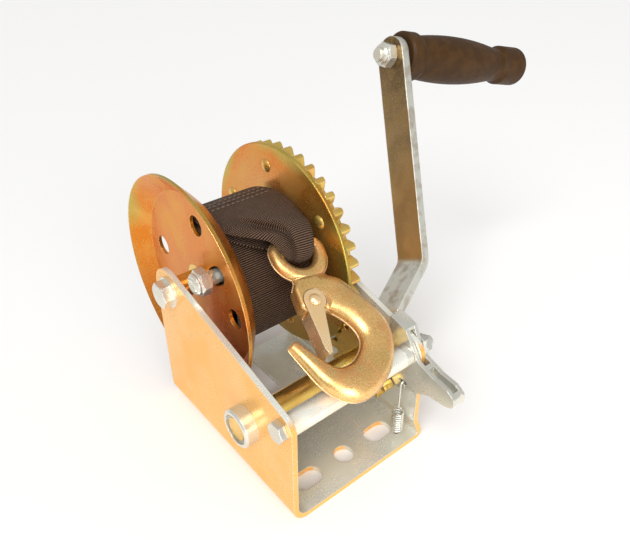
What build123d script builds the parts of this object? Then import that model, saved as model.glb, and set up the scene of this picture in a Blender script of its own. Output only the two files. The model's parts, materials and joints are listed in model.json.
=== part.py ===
"""Hand winch: a strap drum with a ring gear, driven through a pinion by a cranked handle.

Axes: +X along the drum axle towards the crank, +Y towards the back, +Z up.
Origin: centre of the underside of the base plate. Millimetres and degrees.
"""
from build123d import *
import os
from math import acos, asin, atan2, cos, degrees, dist, pi, radians, sin, sqrt, tan

# Frame plate
sheet = 3.0
base_width = 93.0
base_length = 119.0
left_bend = 10.0
right_bend = 4.5
joggle_bend = 8.0
right_inset = 6.5
joggle_height = 16.5
rear_corner = 13.0
front_corner = 8.6
rear_margin = 15.4
front_margin = 7.0

# Axes, seen from the side
axle_inset = 15.3
drum_z = 85.0
tie_inset = 7.8
tie_z = 61.7
pawl_reach = 34.65

# Base fixing holes
fixing_hole = 11.2
fixing_slot = 17.2
fixing_spread = 50.4
fixing_inset = 15.8
rear_slot = 34.6
rear_slot_inset = 23.9

# Gear pair
module = 3.0
gear_teeth = 39
pinion_teeth = 14
pressure_angle = 25.0
gear_addendum = 0.70
pinion_addendum = 1.00
dedendum = 1.22
tip_crown = 0.22
backlash = 0.36
gear_thickness = 6.0
gear_side_gap = 3.9
gear_rim_round = 2.4
gear_opening = 38.0
pinion_overhang = 0.5

# Drum
flange_gap = 13.5
flange_radius = 61.0
web_sheet = 2.0
gear_flange_sheet = 2.5
rim_depth = 8.6
rim_slope_start = 50.0
hub_radius = 13.0
spigot_radius = 9.0
hub_proud = 1.0
flange_hole = 11.5
flange_hole_circle = 36.2
flange_hole_count = 4
flange_hole_angle = 8.0
rivet_circle = 48.6
rivet_count = 6
rivet_first_angle = 79.0
rivet_shank = 2.5
rivet_head = 4.0
rivet_dome = 1.9
rivet_tail = 1.3

# Strap bolt through both flanges
strap_bolt_circle = 22.0
strap_bolt_angle = 147.0
strap_bolt_thread_gap = 4.4
bolt_slot_length = 15.5
bolt_slot_width = 10.5
bolt_slot_circle = 25.5
spacer_radius = 6.4
bolt_end_room = 0.6
thread_proud = 2.0

# Webbing
strap_side_gap = 1.3
webbing = 1.5
webbing_gap = 0.5
roll_turns = 2
core_radius = 28.0
tail_gap = 0.4
tail_start = 70.0
tail_leave = 104.0
tail_arrive = 145.0
tail_lift = 1.6
tail_swell = 1.2

# Hook, laid on the tie tube
hook_slope = 30.0
hook_yaw = 11.5
hook_thickness = 12.0
hook_tip_round = 1.5
hook_length = 76.0
hook_rest_gap = 0.5
hook_eye_reach = 46.6
hook_flange_room = 19.3
eye_bar = 7.8
eye_reach = 11.5
eye_width = 23.4
eye_shift = -0.25
eye_arm_end = -5.0
eye_corner = 4.8
seat_thickness = 10.2
seat_corner = 3.0
seat_edge = 2.2
loop_width = 14.4
loop_clearance = 0.9
latch_sheet = 1.2
latch_gap = 0.3
latch_round = 5.7
latch_length = 28.3
latch_tip = 3.3
latch_swing = 25.0
latch_sweep_room = 0.5
latch_cheek_inset = 2.0
latch_pin = 2.0
latch_head = 3.2
latch_dome = 1.8

# Standard hardware: radius, width across flats, head height, nut height, washer radius, washer thickness
m8 = dict(radius=4.0, flats=13.0, head=5.3, nut=8.0, washer=8.5, washer_thickness=1.6)
m6 = dict(radius=3.0, flats=10.0, head=4.0, nut=6.0, washer=6.4, washer_thickness=1.2)

# Drive shaft, bushes and ratchet
shaft_radius = 6.25
shaft_square = 8.6
bush_neck = 8.0
bush_flange = 10.5
bush_boss = 7.6
bush_recess = 2.0
bush_recess_radius = 8.2
inner_bush_flange = 1.5
ratchet_teeth = 12
ratchet_radius = 17.0
ratchet_root = 13.4
ratchet_thickness = 4.5
ratchet_gap = 0.7
crank_spacer = 7.9
crank_spacer_radius = 9.5

# Tie tube and pawl
tie_tube_radius = 5.75
pawl_hub_length = 4.6
pawl_bush_radius = 4.5
pawl_sheet = 2.3
pawl_side_gap = 0.4
pawl_edge_gap = 2.2
pawl_bush_room = 3.3
pawl_corner = 2.4
pawl_tray_rear = -11.3
pawl_tray_front = -30.3
pawl_tray_depth = 5.6
nose_gap = 2.3
nose_root_gap = 5.5
nose_angle = 50.0
nose_flat = 8.0
spring_wire = 1.1
spring_coil_radius = 2.9
spring_turns = 8
spring_pitch = 1.75
spring_foot = 6.0
spring_hole = 1.1
spring_offset = 1.3
spring_pinion_gap = 4.3
spring_drop = 20.0
spring_bend = 2.2
spring_slot = 5.4
spring_rise = 3.5

# Crank and grip
crank_angle = 28.9
crank_width = 21.4
crank_bar = 5.0
crank_hub_reach = 15.9
crank_kick_out = 31.1
crank_kick_reach = 36.5
crank_lean_out = 30.2
crank_reach = 153.5
crank_bend = 9.0
grip_length = 103.0
grip_collar = 14.2
grip_waist = 12.4
grip_belly = 14.3
grip_neck = 10.4
grip_end = 12.2
grip_edge = 1.2
grip_collar_end = 8.5
grip_waist_at = 12.0
grip_belly_at = 38.0
grip_neck_length = 4.0
grip_cap = 18.0
grip_cap_slope = 3.0
grip_round = 3.4

# Fits
running = 0.06
snug = 0.02
end_play = 0.3

# Stations along the axle, left to right
left_outer = -base_width / 2
left_inner = left_outer + sheet
right_outer = base_width / 2 - right_inset
right_inner = right_outer - sheet
web_outer = left_inner + flange_gap
web_inner = web_outer + web_sheet
gear_outer = right_inner - gear_side_gap
gear_flange_outer = gear_outer - gear_thickness
gear_flange_inner = gear_flange_outer - gear_flange_sheet
drum_width = gear_flange_inner - web_inner
strap_width = drum_width - 2 * strap_side_gap
hub_end = gear_flange_outer + hub_proud

# Axle, drive shaft and tie positions, seen from the side
drum_y = base_length / 2 - axle_inset
tie_y = -base_length / 2 + tie_inset
rear_slot_y = base_length / 2 - rear_slot_inset
center_distance = module * (gear_teeth + pinion_teeth) / 2
axle_to_tie = dist((drum_y, drum_z), (tie_y, tie_z))
tie_bearing = atan2(tie_z - drum_z, tie_y - drum_y)
drop = acos((center_distance**2 + axle_to_tie**2 - pawl_reach**2) / (2 * center_distance * axle_to_tie))
mesh_angle = degrees(tie_bearing + drop)
shaft_y = drum_y + center_distance * cos(radians(mesh_angle))
shaft_z = drum_z + center_distance * sin(radians(mesh_angle))
spring_x = right_inner - pawl_side_gap - pawl_sheet - spring_offset
pinion_tip = module * (pinion_teeth / 2 + pinion_addendum)
spring_y = shaft_y - pinion_tip - spring_pinion_gap
plate_rear = drum_z + rear_margin
plate_front = tie_z + front_margin
top_slope = (plate_rear - plate_front) / base_length


def side_plane(x, y, z):
    """A plane across the winch at x, centred on (y, z), facing the crank side."""
    return Plane(origin=(x, y, z), x_dir=(0, 1, 0), z_dir=(1, 0, 0))


def drum_plane(x):
    return side_plane(x, drum_y, drum_z)


def shaft_plane(x):
    return side_plane(x, shaft_y, shaft_z)


def tie_plane(x):
    return side_plane(x, tie_y, tie_z)


def flipped(plane):
    return Plane(origin=plane.origin, x_dir=plane.x_dir, z_dir=-plane.z_dir)


def polar(radius, angle):
    return (radius * cos(radians(angle)), radius * sin(radians(angle)))


def disc(plane, radius, length, bore=0.0):
    """A round piece along the plane's normal, with an optional bore."""
    with BuildPart() as piece:
        with BuildSketch(plane):
            Circle(radius)
            if bore:
                Circle(bore, mode=Mode.SUBTRACT)
        extrude(amount=length)
    return piece.part


def turned(plane, profile):
    """A turned piece: profile points are (radius, distance along the plane's normal)."""
    section = Plane(origin=plane.origin, x_dir=plane.x_dir, z_dir=-plane.y_dir)
    with BuildPart() as piece:
        with BuildSketch(section):
            with BuildLine():
                Polyline(*profile, close=True)
            make_face()
        revolve(axis=Axis(plane.origin, plane.z_dir))
    return piece.part


def hex_bolt(plane, size, length):
    """A hexagon bolt: the head stands on the plane, the shank runs against its normal."""
    corner = size["flats"] / 2 / cos(radians(30))
    crown = (corner - size["flats"] / 2) * tan(radians(30))
    section = Plane(origin=plane.origin, x_dir=plane.x_dir, z_dir=-plane.y_dir)
    with BuildPart() as bolt:
        with BuildSketch(plane):
            RegularPolygon(size["flats"] / 2, 6, major_radius=False)
        extrude(amount=size["head"])
        with BuildSketch(section):
            with BuildLine():
                Polyline(
                    (0, 0), (corner, 0), (corner, size["head"] - crown),
                    (size["flats"] / 2, size["head"]), (0, size["head"]), close=True,
                )
            make_face()
        revolve(axis=Axis(plane.origin, plane.z_dir), mode=Mode.INTERSECT)
        with BuildSketch(plane):
            Circle(size["radius"])
        extrude(amount=-length)
        chamfer(bolt.edges().filter_by(GeomType.CIRCLE).group_by(SortBy.RADIUS)[0]
                .sort_by(Axis(plane.origin, plane.z_dir))[0], size["radius"] * 0.18)
    return bolt.part


def lock_nut(plane, size):
    """A lock nut standing on the plane, its round collar away from it."""
    flat = size["flats"] / 2
    corner = flat / cos(radians(30))
    hexagon = size["nut"] * 0.72
    collar = flat * 0.9
    section = Plane(origin=plane.origin, x_dir=plane.x_dir, z_dir=-plane.y_dir)
    with BuildPart() as nut:
        with BuildSketch(plane):
            RegularPolygon(flat, 6, major_radius=False)
        extrude(amount=size["nut"])
        with BuildSketch(section):
            with BuildLine():
                Polyline(
                    (size["radius"] + snug, 0), (flat, 0), (corner, (corner - flat) * tan(radians(30))),
                    (corner, hexagon - (corner - collar) * tan(radians(30))), (collar, hexagon),
                    (collar, size["nut"] - flat * 0.15), (flat * 0.75, size["nut"]),
                    (size["radius"] + snug, size["nut"]), close=True,
                )
            make_face()
        revolve(axis=Axis(plane.origin, plane.z_dir), mode=Mode.INTERSECT)
    return nut.part


def flat_washer(plane, size):
    return disc(plane, size["washer"], size["washer_thickness"], size["radius"] + snug)


def dome_middle(radius, height):
    """The middle of a round head's profile: its distance from the axis and its height."""
    ball = (radius**2 + height**2) / (2 * height)
    half = asin(radius / ball) / 2
    return ball * sin(half), ball * cos(half) - ball + height


def save(piece, name):
    piece.label = name
    export_step(piece, f"parts/{name}.step")


os.makedirs("parts", exist_ok=True)

# Frame: one pressed plate, with a flat base, an upright left cheek and a joggled right cheek
with BuildPart() as frame:
    with BuildSketch(Plane.XZ):
        with BuildLine():
            FilletPolyline(
                (left_outer, plate_rear), (left_outer, 0), (base_width / 2, 0),
                (right_outer, joggle_height), (right_outer, plate_rear),
                radius=[left_bend, right_bend, joggle_bend],
            )
            offset(amount=sheet, side=Side.LEFT)
        make_face()
    extrude(amount=base_length / 2, both=True)
    with BuildSketch(Plane.YZ) as cheek_outline:
        with BuildLine():
            Polyline(
                (-base_length / 2, 0), (base_length / 2, 0), (base_length / 2, plate_rear),
                (-base_length / 2, plate_front), close=True,
            )
        make_face()
        top_corners = cheek_outline.vertices().group_by(Axis.Y)
        fillet(top_corners[-1], rear_corner)
        fillet(cheek_outline.vertices().sort_by(Axis.X).group_by(Axis.X)[0].sort_by(Axis.Y)[-1], front_corner)
    extrude(amount=base_width, both=True, mode=Mode.INTERSECT)
    with BuildSketch(drum_plane(0)):
        Circle(m8["radius"] + snug)
    extrude(amount=base_width, both=True, mode=Mode.SUBTRACT)
    with BuildSketch(shaft_plane(0)):
        Circle(bush_neck + snug)
    extrude(amount=base_width, both=True, mode=Mode.SUBTRACT)
    with BuildSketch(tie_plane(0)):
        Circle(m6["radius"] + snug)
    extrude(amount=base_width, both=True, mode=Mode.SUBTRACT)
    with BuildSketch(Plane.XY):
        with Locations((0, -base_length / 2 + fixing_inset)):
            with GridLocations(fixing_spread, 0, 2, 1):
                SlotOverall(fixing_slot, fixing_hole)
            Circle(fixing_hole / 2)
        with Locations((0, rear_slot_y)):
            SlotOverall(rear_slot, fixing_hole, rotation=90)
        with Locations((spring_x, spring_y)):
            Circle(spring_hole)
    extrude(amount=sheet, mode=Mode.SUBTRACT)
save(frame.part, "frame")

# Axle: a bolt across both cheeks, with spacers that keep the drum central
head_seat = left_outer - m8["washer_thickness"]
nut_seat = right_outer + m8["washer_thickness"]
axle_tip = nut_seat + m8["nut"] + thread_proud
save(hex_bolt(flipped(drum_plane(head_seat)), m8, axle_tip - head_seat), "axle_bolt")
save(lock_nut(drum_plane(nut_seat), m8), "axle_nut")
with BuildPart() as axle_washers:
    add(flat_washer(drum_plane(head_seat), m8))
    add(flat_washer(drum_plane(right_outer), m8))
save(axle_washers.part, "axle_washers")
save(
    disc(drum_plane(left_inner), spacer_radius, flange_gap - end_play, m8["radius"] + snug),
    "axle_spacer_left",
)
save(
    disc(drum_plane(hub_end + end_play), spacer_radius, right_inner - hub_end - end_play, m8["radius"] + snug),
    "axle_spacer_right",
)

# Drum: a dished left flange, a flat right flange and the hub tube between them
strap_bolt_at = polar(strap_bolt_circle, strap_bolt_angle)
rim_outer = web_outer - rim_depth
drum_axis = Axis((0, drum_y, drum_z), (1, 0, 0))


def radial_plane(angle):
    """A plane through the drum axis: x along the axle, y outwards at the given angle."""
    onward = (0, -sin(radians(angle)), cos(radians(angle)))
    return Plane(origin=(0, drum_y, drum_z), x_dir=(1, 0, 0), z_dir=onward)


with BuildPart() as drum_flange_left:
    with BuildSketch(radial_plane(0)) as pan_section:
        with BuildLine():
            Polyline(
                (web_outer, spigot_radius + snug), (web_outer, rim_slope_start),
                (rim_outer, flange_radius), (rim_outer + web_sheet, flange_radius),
                (web_inner, rim_slope_start + web_sheet * 0.6), (web_inner, spigot_radius + snug), close=True,
            )
        make_face()
    revolve(axis=drum_axis)
    with BuildSketch(drum_plane(web_outer - web_sheet)):
        with PolarLocations(flange_hole_circle, flange_hole_count, flange_hole_angle):
            Circle(flange_hole / 2)
        with Locations(polar(bolt_slot_circle, strap_bolt_angle)):
            SlotOverall(bolt_slot_length, bolt_slot_width, rotation=strap_bolt_angle)
    extrude(amount=3 * web_sheet, mode=Mode.SUBTRACT)
save(drum_flange_left.part, "drum_flange_left")

with BuildPart() as drum_flange_right:
    with BuildSketch(drum_plane(gear_flange_inner)):
        Circle(flange_radius)
        Circle(spigot_radius + snug, mode=Mode.SUBTRACT)
        with PolarLocations(rivet_circle, rivet_count, rivet_first_angle):
            Circle(rivet_shank + snug, mode=Mode.SUBTRACT)
        with Locations(strap_bolt_at):
            Circle(m8["radius"] + snug, mode=Mode.SUBTRACT)
    extrude(amount=gear_flange_sheet)
    fillet(drum_flange_right.edges().filter_by(GeomType.CIRCLE).group_by(SortBy.RADIUS)[-1], gear_flange_sheet * 0.3)
save(drum_flange_right.part, "drum_flange_right")

with BuildPart() as drum_hub:
    with BuildSketch(drum_plane(web_outer)):
        Circle(spigot_radius)
    extrude(amount=hub_end - web_outer)
    with BuildSketch(drum_plane(web_inner)):
        Circle(hub_radius)
    extrude(amount=drum_width)
    with BuildSketch(drum_plane(web_outer)):
        Circle(m8["radius"] + running)
    extrude(amount=hub_end - web_outer, mode=Mode.SUBTRACT)
save(drum_hub.part, "drum_hub")


def tooth_half_angle(radius, pitch_radius):
    """Half the angle that an involute tooth takes up at a radius."""
    half_pitch = (pi * module / 2 - backlash / 2) / 2 / pitch_radius
    at_pitch = radians(pressure_angle)
    base = pitch_radius * cos(at_pitch)
    here = acos(min(1.0, base / radius))
    return half_pitch + (tan(at_pitch) - at_pitch) - (tan(here) - here)


def toothed_disc(plane, teeth, addendum, first_angle, thickness, bore):
    """A spur gear with a tooth centred at first_angle and rounded tips."""
    pitch_radius = module * teeth / 2
    tip = pitch_radius + addendum * module
    root = pitch_radius - dedendum * module
    shoulder = tip - tip_crown * module
    start = max(root, pitch_radius * cos(radians(pressure_angle)))
    middle = (start + shoulder) / 2

    def at(radius, angle, side=0):
        turn = angle + side * degrees(tooth_half_angle(max(radius, start), pitch_radius))
        return polar(radius, turn)

    with BuildPart() as gear:
        with BuildSketch(plane):
            with BuildLine():
                for tooth in range(teeth):
                    here = first_angle + tooth * 360 / teeth
                    after = here + 360 / teeth
                    if start > root:
                        Line(at(root, here, -1), at(start, here, -1))
                        Line(at(start, here, 1), at(root, here, 1))
                    ThreePointArc(at(start, here, -1), at(middle, here, -1), at(shoulder, here, -1))
                    ThreePointArc(at(shoulder, here, -1), at(tip, here), at(shoulder, here, 1))
                    ThreePointArc(at(shoulder, here, 1), at(middle, here, 1), at(start, here, 1))
                    ThreePointArc(at(root, here, 1), at(root, (here + after) / 2), at(root, after, -1))
            make_face()
            Circle(bore, mode=Mode.SUBTRACT)
        extrude(amount=thickness)
    return gear.part


gear_tip = module * (gear_teeth / 2 + gear_addendum)
with BuildPart() as ring_gear:
    add(toothed_disc(
        drum_plane(gear_flange_outer), gear_teeth, gear_addendum, mesh_angle, gear_thickness, gear_opening,
    ))
    with BuildSketch(drum_plane(gear_flange_outer)):
        with PolarLocations(rivet_circle, rivet_count, rivet_first_angle):
            Circle(rivet_shank + snug)
    extrude(amount=gear_thickness, mode=Mode.SUBTRACT)
    with BuildSketch(radial_plane(mesh_angle)) as rim_section:
        with Locations(((gear_flange_outer + gear_outer) / 2, gear_tip / 2)):
            Rectangle(gear_thickness, gear_tip)
        fillet(rim_section.vertices().group_by(Axis((0, drum_y, drum_z), rim_section.workplanes[0].y_dir))[-1],
               gear_rim_round)
    revolve(axis=drum_axis, mode=Mode.INTERSECT)
save(ring_gear.part, "ring_gear")

rivet_mid, rivet_rise = dome_middle(rivet_head, rivet_dome)
with BuildPart() as gear_rivets:
    for place in range(rivet_count):
        rivet_y, rivet_z = polar(rivet_circle, rivet_first_angle + place * 360 / rivet_count)
        seat = side_plane(gear_flange_inner, drum_y + rivet_y, drum_z + rivet_z)
        grip_of_rivet = gear_flange_sheet + gear_thickness
        section = Plane(origin=seat.origin, x_dir=seat.x_dir, z_dir=-seat.y_dir)
        with BuildSketch(section):
            with BuildLine():
                Polyline(
                    (0, -rivet_dome), (0, grip_of_rivet + rivet_tail),
                    (rivet_head - rivet_tail * 0.6, grip_of_rivet + rivet_tail), (rivet_head, grip_of_rivet),
                    (rivet_shank, grip_of_rivet), (rivet_shank, 0), (rivet_head, 0),
                )
                ThreePointArc((rivet_head, 0), (rivet_mid, -rivet_rise), (0, -rivet_dome))
            make_face()
        revolve(axis=Axis(seat.origin, seat.z_dir))
save(gear_rivets.part, "gear_rivets")

# Strap bolt: its head sits inside the ring gear and its lock nut stands clear of the dished flange
bolt_y, bolt_z = drum_y + strap_bolt_at[0], drum_z + strap_bolt_at[1]
bolt_length = gear_flange_outer - left_inner - bolt_end_room
save(hex_bolt(side_plane(gear_flange_outer, bolt_y, bolt_z), m8, bolt_length), "strap_bolt")
nut_plane = side_plane(web_outer - strap_bolt_thread_gap, bolt_y, bolt_z)
save(lock_nut(flipped(nut_plane), m8), "strap_bolt_nut")

# Webbing: plain inner layers, then the outer turns as one spiral band
strap_mid = (web_inner + gear_flange_inner) / 2
with BuildPart() as strap_core:
    with BuildSketch(drum_plane(strap_mid)):
        Circle(core_radius)
        Circle(hub_radius + end_play, mode=Mode.SUBTRACT)
        with Locations(strap_bolt_at):
            Circle(m8["radius"] + end_play, mode=Mode.SUBTRACT)
    extrude(amount=strap_width / 2, both=True)
save(strap_core.part, "strap_core")

half_step = (webbing + webbing_gap) / 2
roll_start = core_radius + webbing_gap
roll_outer = roll_start + 2 * half_step * roll_turns + webbing
roll_end_angle = tail_start - 4


def roll_point(half_turn, share, lift):
    """A point of the spiral: half turns swing about two centres, half a step apart."""
    away = half_step * (half_turn % 2)
    radius = roll_start + half_step * half_turn + lift
    center = polar(away, roll_end_angle)
    spoke = polar(radius, roll_end_angle + 180 * (half_turn + share))
    return (center[0] + spoke[0], center[1] + spoke[1])


with BuildPart() as strap_roll:
    with BuildSketch(drum_plane(strap_mid)):
        with BuildLine():
            for half_turn in range(2 * roll_turns):
                for lift in (0, webbing):
                    ThreePointArc(*[roll_point(half_turn, share, lift) for share in (0, 0.5, 1)])
            Line(roll_point(0, 0, 0), roll_point(0, 0, webbing))
            Line(roll_point(2 * roll_turns - 1, 1, 0), roll_point(2 * roll_turns - 1, 1, webbing))
        make_face()
    extrude(amount=strap_width / 2, both=True)
save(strap_roll.part, "strap_roll")

# Hook: a forged body on a sloping plane, x along the hook, y to its shank side
slope = radians(hook_slope)
yaw = radians(hook_yaw)
downhill = Vector(0, -cos(slope), -sin(slope))
hook_up = Vector(0, -sin(slope), cos(slope))
hook_along = downhill * cos(yaw) - Vector(1, 0, 0) * sin(yaw)
rest_height = tie_tube_radius + hook_rest_gap + hook_thickness / 2
on_plane = Vector(0, tie_y, tie_z) + hook_up * rest_height
eye_drop = (on_plane.Y - drum_y + hook_eye_reach) / downhill.Y
hook_eye = Vector(gear_flange_inner - hook_flange_room, 0, 0) + on_plane - downhill * eye_drop
hook_plane = Plane(origin=hook_eye, x_dir=hook_along, z_dir=hook_up)
hook_across = hook_plane.y_dir
bar_center = hook_eye - hook_along * eye_reach
cheek_face = hook_thickness / 2 - latch_cheek_inset
hook_unit = hook_length / 100

# Body sections in hundredths of the hook's length: along, across, bearing, half width, share of the thickness
hook_stations = (
    (9.7, -0.4, 90.0, 11.2, 0.55),
    (18.4, 4.2, 101.0, 15.0, 0.83),
    (25.3, 9.2, 111.2, 14.7, 0.97),
    (33.3, 15.9, 117.0, 12.6, 1.00),
    (45.8, 24.2, 115.3, 11.8, 1.00),
    (57.9, 27.7, 98.7, 12.2, 1.00),
    (71.2, 23.6, 69.4, 11.8, 1.00),
    (82.0, 13.0, 36.9, 11.6, 1.00),
    (86.6, -3.9, -11.5, 11.7, 1.00),
    (79.2, -15.8, -47.0, 8.4, 0.93),
    (68.8, -22.2, -60.0, 6.3, 0.82),
    (61.1, -26.3, -60.0, 5.1, 0.73),
    (56.1, -28.8, -60.0, 4.4, 0.63),
    (52.6, -30.6, -60.0, 3.6, 0.50),
)
# Latch seat on the shank, in the same hundredths: along, across
seat_outline = (
    (11.8, -11.2), (18.4, -15.5), (31.6, -16.1), (35.5, -13.2), (38.6, 2.0), (27.6, 11.8), (11.8, 3.9),
)
pivot_along, pivot_across = 29.6, -5.8


def on_hook(along, across):
    """A point on the hook's middle plane, in hundredths of its length."""
    return hook_eye + hook_along * (along * hook_unit) + hook_across * (across * hook_unit)


def section_plane(along, across, bearing):
    """A plane across the hook's body; the bearing turns its width from along to across."""
    width_way = hook_along * cos(radians(bearing)) + hook_across * sin(radians(bearing))
    return Plane(origin=on_hook(along, across), x_dir=width_way, z_dir=width_way.cross(hook_up))


pivot_point = on_hook(pivot_along, pivot_across)
pivot_plane = Plane(origin=pivot_point, x_dir=hook_along, z_dir=hook_up)

with BuildPart() as hook_body:
    for along, across, bearing, half_width, share in hook_stations:
        with BuildSketch(section_plane(along, across, bearing)):
            Ellipse(half_width * hook_unit, hook_thickness / 2 * share)
    loft()
    tip_point = on_hook(*hook_stations[-1][:2])
    fillet(hook_body.faces().sort_by_distance(tip_point)[0].edges(), hook_tip_round)

with BuildPart() as hook_seat:
    with BuildSketch(hook_plane) as seat_sketch:
        with BuildLine():
            Polyline(*[(along * hook_unit, across * hook_unit) for along, across in seat_outline], close=True)
        make_face()
        fillet(seat_sketch.vertices(), seat_corner)
    extrude(amount=seat_thickness / 2, both=True)
    hook_sides = Axis(hook_eye, hook_up)
    fillet(hook_seat.faces().sort_by(hook_sides)[-1].edges(), seat_edge)
    fillet(hook_seat.faces().sort_by(hook_sides)[0].edges(), seat_edge)

eye_left = eye_shift - eye_width / 2
eye_right = eye_shift + eye_width / 2
with BuildPart() as hook_ring:
    with BuildLine(hook_plane) as ring_line:
        FilletPolyline(
            (eye_arm_end, eye_left), (-eye_reach, eye_left), (-eye_reach, eye_right), (eye_arm_end, eye_right),
            radius=eye_corner,
        )
        ThreePointArc((eye_arm_end, eye_left), (eye_arm_end + eye_width / 2, eye_shift), (eye_arm_end, eye_right))
    ring_wire = ring_line.wires()[0]
    with BuildSketch(Plane(origin=ring_wire @ 0, z_dir=ring_wire % 0)):
        Circle(eye_bar / 2)
    sweep(path=ring_wire)

swept_tip = polar(latch_length + latch_sweep_room, latch_swing)
swept_side = polar(latch_round + latch_sweep_room, latch_swing + 30)
with BuildPart() as hook:
    add(hook_ring.part)
    add(hook_body.part)
    add(hook_seat.part)
    for side in (1, -1):
        with BuildSketch(pivot_plane.offset(side * cheek_face)):
            Circle(latch_round + latch_sweep_room)
            with BuildLine():
                Polyline(
                    (0, -latch_round - latch_sweep_room), (latch_length + latch_sweep_room, -latch_round - latch_sweep_room),
                    swept_tip, swept_side, (0, latch_round), close=True,
                )
            make_face()
        extrude(amount=side * hook_thickness, mode=Mode.SUBTRACT)
    with BuildSketch(pivot_plane):
        Circle(latch_pin + snug)
    extrude(amount=hook_thickness, both=True, mode=Mode.SUBTRACT)
save(hook.part, "hook")

# Latch: a channel of sheet with two cheeks over the shank and a spine along its outer side
latch_outer = cheek_face + latch_gap + latch_sheet
spine_from = latch_round - latch_gap
spine_inner = latch_sheet - latch_round
latch_shoulder = polar(latch_round, 30)
with BuildPart() as hook_latch:
    with BuildSketch(pivot_plane):
        with BuildLine():
            Polyline(
                (0, -latch_round), (latch_length - latch_tip, -latch_round), (latch_length, -latch_round + latch_tip / 3),
                (latch_length - latch_tip / 5, -latch_tip * 0.8), latch_shoulder,
            )
            ThreePointArc(latch_shoulder, (-latch_round, 0), (0, -latch_round))
        make_face()
    extrude(amount=latch_outer, both=True)
    with BuildSketch(pivot_plane):
        with BuildLine():
            Polyline(
                (-2 * latch_round, -2 * latch_round), (spine_from, -2 * latch_round), (spine_from, spine_inner),
                (latch_length - latch_tip, spine_inner), (latch_length + latch_tip, spine_inner + latch_tip / 3),
                (latch_length + latch_tip, 2 * latch_round), (-2 * latch_round, 2 * latch_round), close=True,
            )
        make_face()
    extrude(amount=latch_outer - latch_sheet, both=True, mode=Mode.SUBTRACT)
    with BuildSketch(pivot_plane):
        Circle(latch_pin + running)
    extrude(amount=hook_thickness, both=True, mode=Mode.SUBTRACT)
save(hook_latch.part, "hook_latch")

head_from = latch_outer + latch_gap
head_to = head_from + latch_dome
latch_mid, latch_rise = dome_middle(latch_head, latch_dome)
with BuildPart() as latch_rivet:
    with BuildSketch(Plane(origin=pivot_point, x_dir=hook_along, z_dir=-hook_across)):
        with BuildLine():
            Polyline(
                (0, head_to), (0, -head_to), (latch_head * 0.5, -head_to), (latch_head, -head_from),
                (latch_pin, -head_from), (latch_pin, head_from), (latch_head, head_from),
            )
            ThreePointArc((latch_head, head_from), (latch_mid, head_from + latch_rise), (0, head_to))
        make_face()
    revolve(axis=Axis(pivot_point, hook_up))
save(latch_rivet.part, "latch_rivet")

# Sewn end of the strap: two layers over the roll, drawn in to a loop round the hook's eye
tail_inner = roll_outer + tail_gap
tail_thick = 2 * webbing
loop_inner = eye_bar / 2 + loop_clearance
loop_outer = loop_inner + webbing
loop_seat = Plane(
    origin=bar_center + hook_up * (loop_inner + tail_thick / 2), x_dir=hook_across, z_dir=-hook_along,
)
with BuildPart() as strap_tail:
    with BuildSketch(radial_plane(tail_start)):
        with Locations((strap_mid, tail_inner + tail_thick / 2)):
            Rectangle(strap_width, tail_thick)
    revolve(axis=drum_axis, revolution_arc=tail_leave - tail_start)
    with BuildSketch(radial_plane(tail_leave)):
        with Locations((strap_mid, tail_inner + tail_thick / 2)):
            Rectangle(strap_width, tail_thick)
    with BuildSketch(radial_plane((tail_leave + tail_arrive) / 2)):
        with Locations(((strap_mid + hook_eye.X) / 2, tail_inner + tail_thick * tail_lift)):
            Rectangle((strap_width + loop_width) / 2, tail_thick * tail_swell)
    with BuildSketch(loop_seat):
        Rectangle(loop_width, tail_thick)
    loft(ruled=True)
    with BuildSketch(Plane(origin=bar_center, x_dir=hook_along, z_dir=hook_across)):
        Circle(loop_outer)
    extrude(amount=loop_width / 2, both=True)
    with BuildSketch(Plane(origin=bar_center, x_dir=hook_along, z_dir=hook_across)):
        Circle(loop_inner)
    extrude(amount=strap_width, both=True, mode=Mode.SUBTRACT)
save(strap_tail.part, "strap_tail")

# Drive shaft with its bushes, pinion and ratchet wheel
ratchet_at = right_outer + ratchet_gap
crank_inner = ratchet_at + ratchet_thickness + crank_spacer
crank_outer = crank_inner + crank_bar
crank_nut_at = crank_outer + m8["washer_thickness"]
shaft_tip = crank_nut_at + m8["nut"] + thread_proud
shaft_left = left_outer - bush_boss + bush_recess * 0.4
save(
    turned(flipped(shaft_plane(left_inner)), (
        (shaft_radius + running, 0), (bush_neck, 0), (bush_neck, sheet), (bush_flange, sheet),
        (bush_flange, sheet + bush_boss - 1), (bush_flange - 1, sheet + bush_boss),
        (bush_recess_radius, sheet + bush_boss), (bush_recess_radius, sheet + bush_boss - bush_recess),
        (shaft_radius + running, sheet + bush_boss - bush_recess),
    )),
    "shaft_bush_left",
)
save(
    turned(shaft_plane(right_inner - inner_bush_flange), (
        (shaft_radius + running, 0), (bush_flange, 0), (bush_flange, inner_bush_flange),
        (bush_neck, inner_bush_flange), (bush_neck, inner_bush_flange + sheet),
        (shaft_radius + running, inner_bush_flange + sheet),
    )),
    "shaft_bush_right",
)
with BuildPart() as drive_shaft:
    with BuildSketch(shaft_plane(shaft_left)):
        Circle(shaft_radius)
    extrude(amount=crank_inner - shaft_left)
    with BuildSketch(shaft_plane(crank_inner)):
        Rectangle(shaft_square, shaft_square, rotation=90 - crank_angle)
    extrude(amount=crank_bar - end_play)
    with BuildSketch(shaft_plane(crank_inner)):
        Circle(m8["radius"])
    extrude(amount=shaft_tip - crank_inner)
save(drive_shaft.part, "drive_shaft")

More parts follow.
